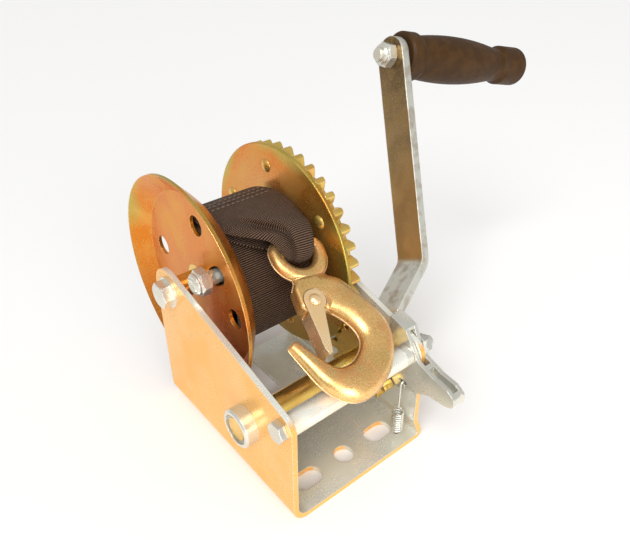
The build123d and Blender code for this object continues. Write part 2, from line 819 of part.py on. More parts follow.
save(
    toothed_disc(
        shaft_plane(gear_flange_outer + end_play), pinion_teeth, pinion_addendum,
        mesh_angle + 180 + 180 / pinion_teeth, gear_thickness + pinion_overhang - end_play, shaft_radius + snug,
    ),
    "pinion",
)
with BuildPart() as ratchet_wheel:
    with BuildSketch(shaft_plane(ratchet_at)):
        with BuildLine():
            tooth_step = 360 / ratchet_teeth
            Polyline(
                *[
                    polar(radius, tooth * tooth_step + share * tooth_step)
                    for tooth in range(ratchet_teeth)
                    for radius, share in (
                        (ratchet_root, 0.0), (ratchet_radius, 0.14), (ratchet_radius, 0.46), (ratchet_root, 0.6),
                    )
                ],
                close=True,
            )
        make_face()
        Circle(shaft_radius + snug, mode=Mode.SUBTRACT)
    extrude(amount=ratchet_thickness)
save(ratchet_wheel.part, "ratchet_wheel")
save(
    disc(shaft_plane(ratchet_at + ratchet_thickness), crank_spacer_radius, crank_spacer, shaft_radius + snug),
    "crank_spacer",
)

# Crank: a flat bar bent twice, square on the shaft, with a turning grip at its end
outward = Vector(0, sin(radians(crank_angle)), cos(radians(crank_angle)))
crank_plane = Plane(
    origin=(0, shaft_y, shaft_z), x_dir=(1, 0, 0), z_dir=(0, -cos(radians(crank_angle)), sin(radians(crank_angle))),
)
crank_lean = atan2(crank_lean_out, crank_reach - crank_kick_reach)
kick_x = crank_inner + crank_kick_out
top_x = kick_x + crank_lean_out
grip_axis = Vector(1, 0, 0) * cos(crank_lean) - outward * sin(crank_lean)
arm_axis = Vector(1, 0, 0) * sin(crank_lean) + outward * cos(crank_lean)
grip_root = Vector(top_x, shaft_y, shaft_z) + outward * crank_reach
arm_end = (top_x + crank_width / 2 * sin(crank_lean), crank_reach + crank_width / 2 * cos(crank_lean))


def grip_plane(distance):
    """A plane across the grip's axis, at a distance from the arm's inner face."""
    return Plane(origin=grip_root + grip_axis * distance, x_dir=arm_axis, z_dir=grip_axis)


with BuildPart() as crank_arm:
    with BuildSketch(crank_plane):
        with BuildLine():
            FilletPolyline(
                (crank_inner, -crank_width / 2), (crank_inner, crank_hub_reach), (kick_x, crank_kick_reach), arm_end,
                radius=crank_bend,
            )
            offset(amount=crank_bar, side=Side.RIGHT)
        make_face()
    extrude(amount=crank_width / 2, both=True)
    round_end = crank_width / 2 - 0.05
    fillet(crank_arm.edges().filter_by(Axis.X), round_end)
    fillet(crank_arm.edges().filter_by(Axis((0, 0, 0), grip_axis)), round_end)
    with BuildSketch(shaft_plane(crank_inner)):
        Rectangle(shaft_square + 2 * snug, shaft_square + 2 * snug, rotation=90 - crank_angle)
    extrude(amount=crank_bar, mode=Mode.SUBTRACT)
    with BuildSketch(grip_plane(0)):
        Circle(m8["radius"] + snug)
    extrude(amount=crank_bar, mode=Mode.SUBTRACT)
save(crank_arm.part, "crank_arm")
save(flat_washer(shaft_plane(crank_outer), m8), "crank_washer")
save(lock_nut(shaft_plane(crank_nut_at), m8), "crank_nut")

grip_start = crank_bar + m8["washer_thickness"] + end_play
head_recess = m8["head"] + thread_proud
neck_from = grip_length - grip_cap - grip_cap_slope - grip_neck_length
recess_radius = m8["flats"] / 2 / cos(radians(30)) + end_play
grip_from = grip_plane(grip_start)
with BuildPart() as grip:
    with BuildSketch(Plane(origin=grip_from.origin, x_dir=grip_from.x_dir, z_dir=-grip_from.y_dir)):
        with BuildLine():
            bore = m8["radius"] + running
            Polyline(
                (recess_radius, grip_length), (recess_radius, grip_length - head_recess),
                (bore, grip_length - head_recess), (bore, 0), (grip_collar - grip_edge, 0), (grip_collar, grip_edge),
                (grip_collar, grip_collar_end), (grip_waist, grip_waist_at),
            )
            ThreePointArc((grip_waist, grip_waist_at), (grip_belly, grip_belly_at), (grip_neck, neck_from))
            Polyline(
                (grip_neck, neck_from), (grip_neck, neck_from + grip_neck_length), (grip_end, grip_length - grip_cap),
                (grip_end, grip_length - grip_round),
            )
            ThreePointArc(
                (grip_end, grip_length - grip_round), (grip_end - 0.3 * grip_round, grip_length - 0.3 * grip_round),
                (grip_end - grip_round, grip_length),
            )
            Line((grip_end - grip_round, grip_length), (recess_radius, grip_length))
        make_face()
    revolve(axis=Axis(grip_from.origin, grip_axis))
save(grip.part, "grip")
bolt_seat = grip_start + grip_length - head_recess + end_play
nut_tip = m8["nut"] + thread_proud
save(hex_bolt(grip_plane(bolt_seat), m8, bolt_seat + nut_tip), "grip_bolt")
save(flat_washer(grip_plane(crank_bar), m8), "grip_washer")
save(lock_nut(flipped(grip_plane(0)), m8), "grip_nut")

# Tie tube between the cheeks, with the pawl's bushes at its right end
wall_inner = right_inner - pawl_side_gap - pawl_sheet
wall_outer = right_outer + pawl_side_gap
bush_step = wall_inner - pawl_side_gap / 2
tube_end = bush_step - pawl_hub_length
bore = m6["radius"] + snug
outer_bush = pawl_side_gap + pawl_sheet + end_play
tie_nut_at = right_outer + outer_bush + m6["washer_thickness"]
tie_tip = tie_nut_at + m6["nut"] + thread_proud
save(disc(tie_plane(left_inner), tie_tube_radius, tube_end - left_inner, bore), "tie_tube")
save(
    turned(tie_plane(tube_end), (
        (bore, 0), (tie_tube_radius, 0), (tie_tube_radius, pawl_hub_length), (pawl_bush_radius, pawl_hub_length),
        (pawl_bush_radius, right_inner - tube_end), (bore, right_inner - tube_end),
    )),
    "pawl_bush_inner",
)
save(disc(tie_plane(right_outer), pawl_bush_radius, outer_bush, bore), "pawl_bush_outer")
save(flat_washer(tie_plane(right_outer + outer_bush), m6), "tie_washer")
save(lock_nut(tie_plane(tie_nut_at), m6), "tie_nut")
save(hex_bolt(flipped(tie_plane(left_outer)), m6, tie_tip - left_outer), "tie_bolt")

# Pawl: a two-walled lever straddling the right cheek, with a thumb tab in front and two noses behind
to_wheel = Vector(0, shaft_y - tie_y, shaft_z - tie_z).normalized()
beside = Vector(0, -to_wheel.Z, to_wheel.Y)
wheel = Vector(0, shaft_y - tie_y, shaft_z - tie_z)


def from_wheel(radius, angle):
    """A point round the ratchet wheel, by its angle from the line to the pawl's pivot."""
    spot = wheel - to_wheel * (radius * cos(radians(angle))) + beside * (radius * sin(radians(angle)))
    return (spot.Y, spot.Z)


def bridge_top(y):
    edge = plate_front + top_slope * (y + tie_inset)
    return (y, edge + pawl_edge_gap + pawl_sheet - tie_z)


nose_tip = ratchet_radius + nose_gap
nose_root = ratchet_radius + nose_root_gap
# Lever seen from the side, from the pivot: its top edge forwards, the round thumb end and the underside back
lever_top = ((-8.0, -0.6), (-19.0, -4.2), (-28.0, -5.2), (-33.0, -8.4))
lever_under = ((-33.4, -13.4), (-29.4, -15.8), (-17.0, -17.0), (-11.0, -20.2))
ear = ((-2.6, 5.0), (-5.2, 8.2), (-6.4, 0.4))
bridge_rear = bridge_top(13.2)
bridge_front = bridge_top(2.2)
pawl_width = wall_outer + pawl_sheet - wall_inner
heel = (from_wheel(bush_flange + 3 * pawl_bush_room, -61.3), from_wheel(bush_flange + pawl_bush_room, -52.5))
tray_floor = [(y, z - pawl_tray_depth) for y, z in ((pawl_tray_rear - pawl_sheet, -2.0), (pawl_tray_front, -5.0))]
with BuildPart() as pawl:
    with BuildSketch(tie_plane(wall_inner)) as inner_wall:
        with BuildLine():
            Polyline(bridge_rear, bridge_front, *lever_top, *lever_under, *heel, close=True)
        make_face()
        fillet(inner_wall.vertices(), pawl_corner)
    extrude(amount=pawl_sheet)
    with BuildSketch(tie_plane(wall_outer)) as outer_wall:
        with BuildLine():
            Polyline(
                from_wheel(nose_root, nose_angle - nose_flat), from_wheel(nose_tip, nose_angle),
                from_wheel(nose_root, nose_angle + 3), bridge_rear, bridge_front, *ear, *lever_top, *lever_under,
                from_wheel(nose_root, -nose_angle - 4), from_wheel(nose_tip, -nose_angle),
                from_wheel(nose_root, nose_flat - nose_angle),
            )
            ThreePointArc(
                from_wheel(nose_root, nose_flat - nose_angle), from_wheel(nose_root, 0),
                from_wheel(nose_root, nose_angle - nose_flat),
            )
        make_face()
    extrude(amount=pawl_sheet)
    with BuildSketch(tie_plane(wall_inner)):
        with BuildLine():
            Polyline(
                bridge_rear, bridge_front, (bridge_front[0], bridge_front[1] - pawl_sheet),
                (bridge_rear[0], bridge_rear[1] - pawl_sheet), close=True,
            )
        make_face()
    extrude(amount=pawl_width)
    with BuildSketch(tie_plane(wall_inner)) as lever:
        with BuildLine():
            Polyline(*lever_top, *lever_under, close=True)
        make_face()
        fillet(lever.vertices(), pawl_corner)
        with Locations((pawl_tray_rear, 0)):
            Rectangle(3 * pawl_width, 6 * pawl_width, align=(Align.MIN, Align.CENTER), mode=Mode.SUBTRACT)
    extrude(amount=pawl_width)
    with BuildSketch(tie_plane(wall_inner + pawl_sheet)):
        with BuildLine():
            Polyline(
                (pawl_tray_rear - pawl_sheet, pawl_width), (pawl_tray_front, pawl_width),
                tray_floor[1], tray_floor[0], close=True,
            )
        make_face()
    extrude(amount=pawl_width - 2 * pawl_sheet, mode=Mode.SUBTRACT)
    with BuildSketch(tie_plane(wall_inner)):
        Circle(pawl_bush_radius + running)
    extrude(amount=pawl_width, mode=Mode.SUBTRACT)
    with BuildSketch(tie_plane(wall_inner)):
        with Locations((spring_y - tie_y, -spring_drop)):
            SlotOverall(spring_slot, 2 * spring_hole)
    extrude(amount=pawl_sheet, mode=Mode.SUBTRACT)
save(pawl.part, "pawl")


# Spring from the base to the pawl's inner wall: one wire with a coil and two straight legs
def biarc(start, start_way, end, end_way):
    """Two smooth arcs from one point and direction to another."""
    across = end - start
    bend = 2 * (1 - start_way.dot(end_way))
    along = across.dot(start_way + end_way)
    reach = (sqrt(along**2 + bend * across.dot(across)) - along) / bend
    first = start + start_way * reach
    second = end - end_way * reach
    joint = (first + second) / 2
    TangentArc(start, joint, tangent=start_way)
    TangentArc(joint, end, tangent=second - first)


def coil_point(half_turn):
    angle = pi * half_turn
    height = spring_foot + spring_pitch * half_turn / 2
    return Vector(spring_x + spring_coil_radius * cos(angle), spring_y + spring_coil_radius * sin(angle), height)


def coil_way(half_turn):
    angle = pi * half_turn
    around = Vector(-sin(angle), cos(angle), 0) * (2 * pi * spring_coil_radius)
    return (around + Vector(0, 0, spring_pitch)).normalized()


upward = Vector(0, 0, 1)
coil_end = 2 * spring_turns
leg_from = Vector(spring_x, spring_y, spring_wire)
leg_top = Vector(spring_x, spring_y, sheet)
stem_from = Vector(spring_x, spring_y, coil_point(coil_end).Z + spring_rise)
stem_top = Vector(spring_x, spring_y, tie_z - spring_drop - spring_bend)
eye_from = stem_top + Vector(spring_bend, 0, spring_bend)
eye_to = Vector(wall_inner + pawl_sheet - pawl_side_gap / 2, eye_from.Y, eye_from.Z)
with BuildPart() as pawl_spring:
    with BuildLine() as spring_line:
        Line(leg_from, leg_top)
        biarc(leg_top, upward, coil_point(0), coil_way(0))
        for half_turn in range(coil_end):
            biarc(coil_point(half_turn), coil_way(half_turn), coil_point(half_turn + 1), coil_way(half_turn + 1))
        biarc(coil_point(coil_end), coil_way(coil_end), stem_from, upward)
        Line(stem_from, stem_top)
        TangentArc(stem_top, eye_from, tangent=upward)
        Line(eye_from, eye_to)
    with BuildSketch(Plane(origin=leg_from, z_dir=upward)):
        Circle(spring_wire / 2)
    sweep(path=spring_line.line)
save(pawl_spring.part, "pawl_spring")

# Least gaps of the spring and of the rolled webbing to themselves
samples = 36 * spring_turns
wire = spring_line.wires()[0]
wire_points = [wire @ (step / samples) for step in range(samples + 1)]
half_apart = round(samples * pi * spring_coil_radius / wire.length)
wire_gap = min(
    (here - there).length for place, here in enumerate(wire_points) for there in wire_points[place + half_apart:]
)
print(f"pawl_spring least gap {wire_gap - spring_wire:.2f} mm")
layers = [
    (roll_point(half_turn, step / 24, webbing), roll_point(half_turn + 2, step / 24, 0))
    for half_turn in range(2 * roll_turns - 2)
    for step in range(25)
]
print(f"strap_roll least gap {min(dist(below, above) for below, above in layers):.2f} mm")
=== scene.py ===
"""Looks for the hand winch: plated metal, woven strap, moulded grip and a studio stage.

Metres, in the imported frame: +X along the drum axle towards the crank, +Y back, +Z up.
"""

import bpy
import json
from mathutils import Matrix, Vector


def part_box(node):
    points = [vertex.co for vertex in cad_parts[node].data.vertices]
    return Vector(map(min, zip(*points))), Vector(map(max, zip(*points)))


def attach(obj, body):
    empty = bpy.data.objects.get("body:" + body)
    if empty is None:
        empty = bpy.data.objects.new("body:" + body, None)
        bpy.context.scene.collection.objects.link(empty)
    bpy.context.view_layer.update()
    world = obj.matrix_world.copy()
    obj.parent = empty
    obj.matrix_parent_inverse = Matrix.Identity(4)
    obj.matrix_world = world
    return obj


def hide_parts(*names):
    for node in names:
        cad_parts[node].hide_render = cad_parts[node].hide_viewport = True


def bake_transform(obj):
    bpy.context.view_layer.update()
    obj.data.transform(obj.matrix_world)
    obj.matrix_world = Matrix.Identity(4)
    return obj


bl_info = {
    "name": "Hand Winch",
    "version": (1, 0, 0),
    "blender": (4, 5, 0),
    "location": "View3D > Sidebar > Winch",
    "description": "Dresses the packed hand winch with plated metal, webbing and a studio stage",
    "category": "Object",
}

import json
import math

import bmesh
import bpy
from bpy.props import FloatProperty, FloatVectorProperty, IntProperty, PointerProperty
from mathutils import Matrix, Vector

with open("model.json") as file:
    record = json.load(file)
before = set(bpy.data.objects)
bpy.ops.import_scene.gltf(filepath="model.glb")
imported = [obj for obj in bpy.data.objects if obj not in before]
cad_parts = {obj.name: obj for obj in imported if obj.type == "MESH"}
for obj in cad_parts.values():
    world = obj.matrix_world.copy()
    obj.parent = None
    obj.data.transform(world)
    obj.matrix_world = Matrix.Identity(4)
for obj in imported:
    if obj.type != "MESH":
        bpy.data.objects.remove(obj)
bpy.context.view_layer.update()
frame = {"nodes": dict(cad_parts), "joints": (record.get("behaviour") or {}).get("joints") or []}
joints = {joint["name"]: joint for joint in frame["joints"]}

MM = 0.001
DRUM = Vector(joints["drum_spin"]["pos_m"])
EYE_BAR = Vector(joints["hook_swing"]["pos_m"])
ACROSS = -Vector(joints["hook_swing"]["axis"]).normalized()
HOOK_UP = Vector(joints["latch_swing"]["axis"]).normalized()
ALONG = ACROSS.cross(HOOK_UP).normalized()


class WinchStrapSettings(bpy.types.PropertyGroup):
    """Sizes and colours of the webbing."""

    thickness: FloatProperty(
        name="Thickness", description="Thickness of the webbing", default=1.5 * MM, unit="LENGTH",
    )
    gap: FloatProperty(
        name="Gap", description="Gap between the rolled layers", default=0.5 * MM, unit="LENGTH",
    )
    turns: IntProperty(name="Turns", description="Inner turns of webbing that the roll shows", default=3, min=1)
    slack: FloatProperty(
        name="Slack", description="How far the outer turn hangs below the drum", default=11.0 * MM, unit="LENGTH",
    )
    rib: FloatProperty(
        name="Rib", description="Distance between the ribs across the webbing", default=1.2 * MM, unit="LENGTH",
    )
    yarn: FloatProperty(
        name="Yarn", description="Distance between the yarns along the webbing", default=1.6 * MM, unit="LENGTH",
    )
    stitch: FloatProperty(
        name="Stitch", description="Distance between the stitches of a seam", default=3.1 * MM, unit="LENGTH",
    )
    color: FloatVectorProperty(
        name="Webbing", description="Colour of the webbing", subtype="COLOR", default=(0.012, 0.006, 0.003),
    )
    # Painted highlight: the lighter colour of the rib crowns where light catches them
    wear_and_highlight: FloatVectorProperty(
        name="Ribs", description="Colour of the ribs where light catches them", subtype="COLOR",
        default=(0.270, 0.160, 0.100),
    )
    thread: FloatVectorProperty(
        name="Thread", description="Colour of the sewing thread", subtype="COLOR", default=(0.20, 0.135, 0.09),
    )


class WinchFinishSettings(bpy.types.PropertyGroup):
    """Colours of the plated metal and the grip."""

    zinc: FloatVectorProperty(
        name="Bright zinc", description="Colour of the bright plate", subtype="COLOR", default=(0.81, 0.81, 0.73),
    )
    # Warm zinc: a painted reflection of a warm floor on the frame's outer faces; a faint random tint on bright zinc and
    # an even tint on the tie tube
    warm_tint_and_floor_reflection: FloatVectorProperty(
        name="Warm zinc", description="Tint of the frame's outer faces", subtype="COLOR", default=(0.87, 0.455, 0.105),
    )
    bronze: FloatVectorProperty(
        name="Bronze tint", description="Darker tint of the crank's flat side", subtype="COLOR",
        default=(0.25, 0.152, 0.063),
    )
    bronze_bend: FloatVectorProperty(
        name="Bronze at bend", description="Paler tint of the flat side at the crank's bend", subtype="COLOR",
        default=(0.36, 0.25, 0.118),
    )
    gold: FloatVectorProperty(
        name="Gold", description="Main colour of the yellow plate", subtype="COLOR", default=(0.84, 0.59, 0.16),
    )
    orange: FloatVectorProperty(
        name="Orange", description="Deep orange of the flanges", subtype="COLOR", default=(0.70, 0.205, 0.012),
    )
    rose: FloatVectorProperty(
        name="Rose", description="Pink bloom of the yellow plate", subtype="COLOR", default=(0.70, 0.225, 0.050),
    )
    olive: FloatVectorProperty(
        name="Olive", description="Green bloom of the yellow plate", subtype="COLOR", default=(0.52, 0.38, 0.07),
    )
    forged: FloatVectorProperty(
        name="Forged gold", description="Colour of the hook", subtype="COLOR", default=(0.94, 0.56, 0.19),
    )
    ridge: FloatProperty(
        name="Ridge", description="Width of the hook's parting ridge", default=0.7 * MM, unit="LENGTH",
    )
    grip: FloatVectorProperty(
        name="Grip", description="Colour of the moulded grip", subtype="COLOR", default=(0.046, 0.021, 0.006),
    )
    # Peach clouds in the painted floor reflection on the frame's outer faces
    floor_reflection_peach: FloatVectorProperty(
        name="Peach", description="Clouds on the frame's outer faces", subtype="COLOR", default=(0.88, 0.49, 0.155),
    )
    left_web: FloatVectorProperty(
        name="Left web", description="Bloom near the hub of the left flange", subtype="COLOR",
        default=(0.70, 0.208, 0.006),
    )
    # Painted shade of the left flange: darker brown low down and at the front, a dark reflection of the frame
    left_painted_shade: FloatVectorProperty(
        name="Left dull", description="Brown of the left flange, low and at the front", subtype="COLOR",
        default=(0.54, 0.115, 0.004),
    )
    right_web: FloatVectorProperty(
        name="Right web", description="Bloom near the hub of the right flange", subtype="COLOR",
        default=(0.70, 0.31, 0.085),
    )
    # Bright flecks in the hook's grain: partly grain, partly painted glints
    fleck_and_glint: FloatVectorProperty(
        name="Flecks", description="Bright flecks in the hook's grain", subtype="COLOR", default=(0.97, 0.82, 0.54),
    )
    latch: FloatVectorProperty(
        name="Latch", description="Pale gold of the latch", subtype="COLOR", default=(0.97, 0.88, 0.66),
    )


class WinchStageSettings(bpy.types.PropertyGroup):
    """Floor, light and camera."""

    floor: FloatVectorProperty(
        name="Floor", description="Colour of the floor", subtype="COLOR", default=(0.93, 0.93, 0.93),
    )
    key: FloatProperty(name="Key light", description="Strength of the wide key light", default=2.0)
    key_spread: FloatProperty(
        name="Key spread", description="How wide the key light looks", subtype="ANGLE", default=math.radians(38.0),
    )
    fill: FloatProperty(name="Fill light", description="Power of the fill light", default=5.5, unit="POWER")
    sky: FloatProperty(name="Sky", description="Strength of the even light", default=0.52)
    camera_place: FloatVectorProperty(
        name="Camera", description="Where the camera stands", subtype="TRANSLATION", unit="LENGTH",
        default=(-0.1633, -0.2175, 0.2864),
    )
    azimuth: FloatProperty(
        name="Azimuth", description="Turn of the camera about the vertical", subtype="ANGLE",
        default=math.radians(-39.45),
    )
    elevation: FloatProperty(
        name="Elevation", description="Height of the camera above the horizon", subtype="ANGLE",
        default=math.radians(34.2),
    )
    lens: FloatProperty(name="Lens", description="Focal length in millimetres", default=37.18)


# Shader helpers


def wire(tree, value, socket):
    """Links a socket to another, or sets its plain value."""
    if isinstance(value, bpy.types.NodeSocket):
        tree.links.new(value, socket)
    else:
        socket.default_value = value


def calc(tree, operation, *values):
    """One Math node; its output."""
    node = tree.nodes.new("ShaderNodeMath")
    node.operation = operation
    for value, socket in zip(values, node.inputs):
        wire(tree, value, socket)
    return node.outputs[0]


def remap(tree, value, low, high, to_low=0.0, to_high=1.0):
    """One smooth Map Range node; its output."""
    node = tree.nodes.new("ShaderNodeMapRange")
    node.interpolation_type = "SMOOTHSTEP"
    for name, number in zip(("Value", "From Min", "From Max", "To Min", "To Max"), (value, low, high, to_low, to_high)):
        wire(tree, number, node.inputs[name])
    return node.outputs["Result"]


def blend_color(tree, share, first, second):
    """One colour Mix node; its output."""
    node = tree.nodes.new("ShaderNodeMix")
    node.data_type = "RGBA"
    wire(tree, share, node.inputs[0])
    for socket, color in zip((node.inputs[6], node.inputs[7]), (first, second)):
        wire(tree, color if isinstance(color, bpy.types.NodeSocket) else (*color, 1.0), socket)
    return node.outputs[2]


def noise(tree, vector, scale, detail=3.0):
    node = tree.nodes.new("ShaderNodeTexNoise")
    wire(tree, vector, node.inputs["Vector"])
    wire(tree, scale, node.inputs["Scale"])
    node.inputs["Detail"].default_value = detail
    return node.outputs[0]


def new_group(name, inputs, outputs, vectors=()):
    """An empty shader node group of float and vector sockets; the tree and its input and output nodes."""
    tree = bpy.data.node_groups.new(name, "ShaderNodeTree")
    for label, default in inputs:
        socket = tree.interface.new_socket(name=label, in_out="INPUT", socket_type="NodeSocketFloat")
        socket.default_value = default
    for label in outputs:
        tree.interface.new_socket(name=label, in_out="OUTPUT", socket_type="NodeSocketFloat")
    for label in vectors:
        tree.interface.new_socket(name=label, in_out="OUTPUT", socket_type="NodeSocketVector")
    return tree, tree.nodes.new("NodeGroupInput"), tree.nodes.new("NodeGroupOutput")


def plating_group():
    """Clouds, patches and fine grain of an electroplated surface."""
    found = bpy.data.node_groups.get("Plating")
    if found:
        return found
    tree, given, made = new_group(
        "Plating", (("Cloud Scale", 30.0), ("Grain Scale", 1400.0)), ("Cloud", "Patch", "Grain"),
    )
    place = tree.nodes.new("ShaderNodeTexCoord").outputs["Object"]
    moved = tree.nodes.new("ShaderNodeMapping")
    moved.inputs["Location"].default_value = (0.37, 0.11, 0.73)
    tree.links.new(place, moved.inputs["Vector"])
    cloud = noise(tree, place, given.outputs["Cloud Scale"], 2.0)
    patch = noise(tree, moved.outputs[0], calc(tree, "MULTIPLY", given.outputs["Cloud Scale"], 2.3), 4.0)
    grain = noise(tree, place, given.outputs["Grain Scale"], 3.0)
    tree.links.new(remap(tree, cloud, 0.36, 0.64), made.inputs["Cloud"])
    tree.links.new(remap(tree, patch, 0.42, 0.68), made.inputs["Patch"])
    tree.links.new(grain, made.inputs["Grain"])
    return tree


def weave_group():
    """Ribs and yarns of the webbing, along its own UV map in metres."""
    found = bpy.data.node_groups.get("Weave")
    if found:
        return found
    tree, given, made = new_group("Weave", (("Rib", 0.001), ("Yarn", 0.0016)), ("Height", "Crown"))
    parts = tree.nodes.new("ShaderNodeSeparateXYZ")
    tree.links.new(tree.nodes.new("ShaderNodeTexCoord").outputs["UV"], parts.inputs[0])
    across, along = parts.outputs["X"], parts.outputs["Y"]
    turn = 2 * math.pi
    yarn_wave = calc(tree, "SINE", calc(tree, "DIVIDE", calc(tree, "MULTIPLY", across, turn), given.outputs["Yarn"]))
    lean = calc(tree, "MULTIPLY", yarn_wave, 0.55)
    phase = calc(tree, "ADD", calc(tree, "DIVIDE", calc(tree, "MULTIPLY", along, turn), given.outputs["Rib"]), lean)
    rib_wave = calc(tree, "SINE", phase)
    crown = remap(tree, rib_wave, -0.35, 0.95)
    height = calc(tree, "ADD", rib_wave, calc(tree, "MULTIPLY", yarn_wave, 0.35))
    tree.links.new(height, made.inputs["Height"])
    tree.links.new(crown, made.inputs["Crown"])
    return tree


def use_group(tree, group, **values):
    """Places a node group and sets its inputs."""
    node = tree.nodes.new("ShaderNodeGroup")
    node.node_tree = group
    for name, value in values.items():
        node.inputs[name.replace("_", " ")].default_value = value
    return node.outputs


def new_material(name):
    """A material with only a Principled BSDF; the material, its tree and the shader."""
    material = bpy.data.materials.new(name)
    material.use_nodes = True
    return material, material.node_tree, material.node_tree.nodes["Principled BSDF"]


def bump(tree, height, strength, distance, normal=None):
    node = tree.nodes.new("ShaderNodeBump")
    node.inputs["Strength"].default_value = strength
    node.inputs["Distance"].default_value = distance
    tree.links.new(height, node.inputs["Height"])
    if normal:
        tree.links.new(normal, node.inputs["Normal"])
    return node.outputs[0]


def edge_group():
    """Rounds the edges in the shading, and finds the edges, whose lighter colour is partly plating rubbed bright and
    partly a painted highlight.
    """
    found = bpy.data.node_groups.get("Rubbed Edge Highlight")
    if found:
        return found
    tree, given, made = new_group("Rubbed Edge Highlight", (("Radius", 0.0004),), ("Edge",), ("Normal",))
    rounded = tree.nodes.new("ShaderNodeBevel")
    rounded.samples = 4
    tree.links.new(given.outputs["Radius"], rounded.inputs["Radius"])
    flat = tree.nodes.new("ShaderNodeNewGeometry").outputs["Normal"]
    turn = tree.nodes.new("ShaderNodeVectorMath")
    turn.operation = "DOT_PRODUCT"
    tree.links.new(rounded.outputs[0], turn.inputs[0])
    tree.links.new(flat, turn.inputs[1])
    tree.links.new(remap(tree, turn.outputs["Value"], 0.995, 0.90), made.inputs["Edge"])
    tree.links.new(rounded.outputs[0], made.inputs["Normal"])
    return tree


def plated(
    name, color_of, cloud_scale, roughness, rubbed_and_highlight, metallic=0.85, grain_scale=1400.0, grain_bump=0.12, edge=0.45 * MM,
    coat_weight=0.0,
):
    """A plated metal: color_of(tree, plating) gives its colour, roughness is (smooth, grainy)."""
    material, tree, shader = new_material(name)
    plating = use_group(tree, plating_group(), Cloud_Scale=cloud_scale, Grain_Scale=grain_scale)
    edge_wear_and_highlight = use_group(tree, edge_group(), Radius=edge)
    shader.inputs["Metallic"].default_value = metallic
    shader.inputs["Coat Weight"].default_value = coat_weight
    shader.inputs["Coat Roughness"].default_value = 0.28
    # Lighter colour on the edges: partly plating rubbed bright, partly a painted highlight
    bare_and_highlight = calc(tree, "MULTIPLY", edge_wear_and_highlight["Edge"], remap(tree, plating["Patch"], 0.0, 1.0, 0.9, 0.45))
    tree.links.new(blend_color(tree, bare_and_highlight, color_of(tree, plating), rubbed_and_highlight), shader.inputs["Base Color"])
    wear_and_highlight = calc(tree, "MULTIPLY", calc(tree, "ADD", plating["Grain"], plating["Patch"]), 0.5)
    tree.links.new(remap(tree, wear_and_highlight, 0.2, 0.8, *roughness), shader.inputs["Roughness"])
    tree.links.new(
        bump(tree, plating["Grain"], grain_bump, 0.15 * MM, edge_wear_and_highlight["Normal"]), shader.inputs["Normal"],
    )
    return material


def shade(color, amount):
    return tuple(channel * amount for channel in color)


def facing_and_place(tree):
    """The surface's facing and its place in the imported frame, each split into X, Y and Z."""
    coords = tree.nodes.new("ShaderNodeTexCoord")
    split = []
    for output in ("Normal", "Object"):
        parts = tree.nodes.new("ShaderNodeSeparateXYZ")
        tree.links.new(coords.outputs[output], parts.inputs[0])
        split.append(parts.outputs)
    return split


def bright_zinc(finish):
    """Bright zinc with faint warm clouds."""
    def color(tree, plating):
        cloudy = blend_color(tree, plating["Cloud"], finish.zinc, shade(finish.zinc, 0.78))
        tint = calc(tree, "MULTIPLY", plating["Patch"], 0.10)
        return blend_color(tree, tint, cloudy, finish.warm_tint_and_floor_reflection)
    return plated(
        "Bright Zinc", color, cloud_scale=30.0, roughness=(0.18, 0.36), rubbed_and_highlight=(0.92, 0.91, 0.87), metallic=0.7,
    )


def frame_zinc(finish):
    """The frame's zinc, with a painted reflection of a warm floor on the faces that look outwards, endways or down."""
    cheek = (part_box("frame")[1].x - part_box("frame")[0].x) / 2

    def color(tree, plating):
        facing, place = facing_and_place(tree)
        # Painted reflection of a warm floor on the faces that look outwards, endways or down
        outward = calc(tree, "MULTIPLY", facing["X"], calc(tree, "DIVIDE", place["X"], cheek))
        sideways = remap(tree, outward, 0.2, 0.8)
        endways = remap(tree, calc(tree, "ABSOLUTE", facing["Y"]), 0.4, 0.9)
        downward = remap(tree, facing["Z"], -0.2, -0.8)
        warm_tint_and_floor_reflection = calc(tree, "MAXIMUM", sideways, calc(tree, "MAXIMUM", endways, downward))
        cloudy = blend_color(tree, plating["Cloud"], shade(finish.zinc, 1.06), shade(finish.zinc, 0.88))
        streaked = blend_color(tree, calc(tree, "MULTIPLY", plating["Patch"], 0.14), cloudy, finish.olive)
        # Colour of the painted floor reflection, clouded
        floor_reflection_peach = blend_color(tree, plating["Cloud"], finish.warm_tint_and_floor_reflection, finish.floor_reflection_peach)
        return blend_color(tree, warm_tint_and_floor_reflection, streaked, floor_reflection_peach)
    return plated(
        "Frame Zinc", color, cloud_scale=22.0, roughness=(0.26, 0.44), rubbed_and_highlight=(0.95, 0.88, 0.74), metallic=0.45,
    )


def tube_zinc(finish):
    """The tie tube's zinc, pale and a little warm."""
    def color(tree, plating):
        pale = blend_color(tree, 0.30, shade(finish.zinc, 1.10), finish.warm_tint_and_floor_reflection)
        return blend_color(tree, plating["Cloud"], pale, shade(finish.zinc, 1.05))
    return plated(
        "Tube Zinc", color, cloud_scale=40.0, roughness=(0.24, 0.40), rubbed_and_highlight=(0.95, 0.93, 0.88), metallic=0.5,
    )


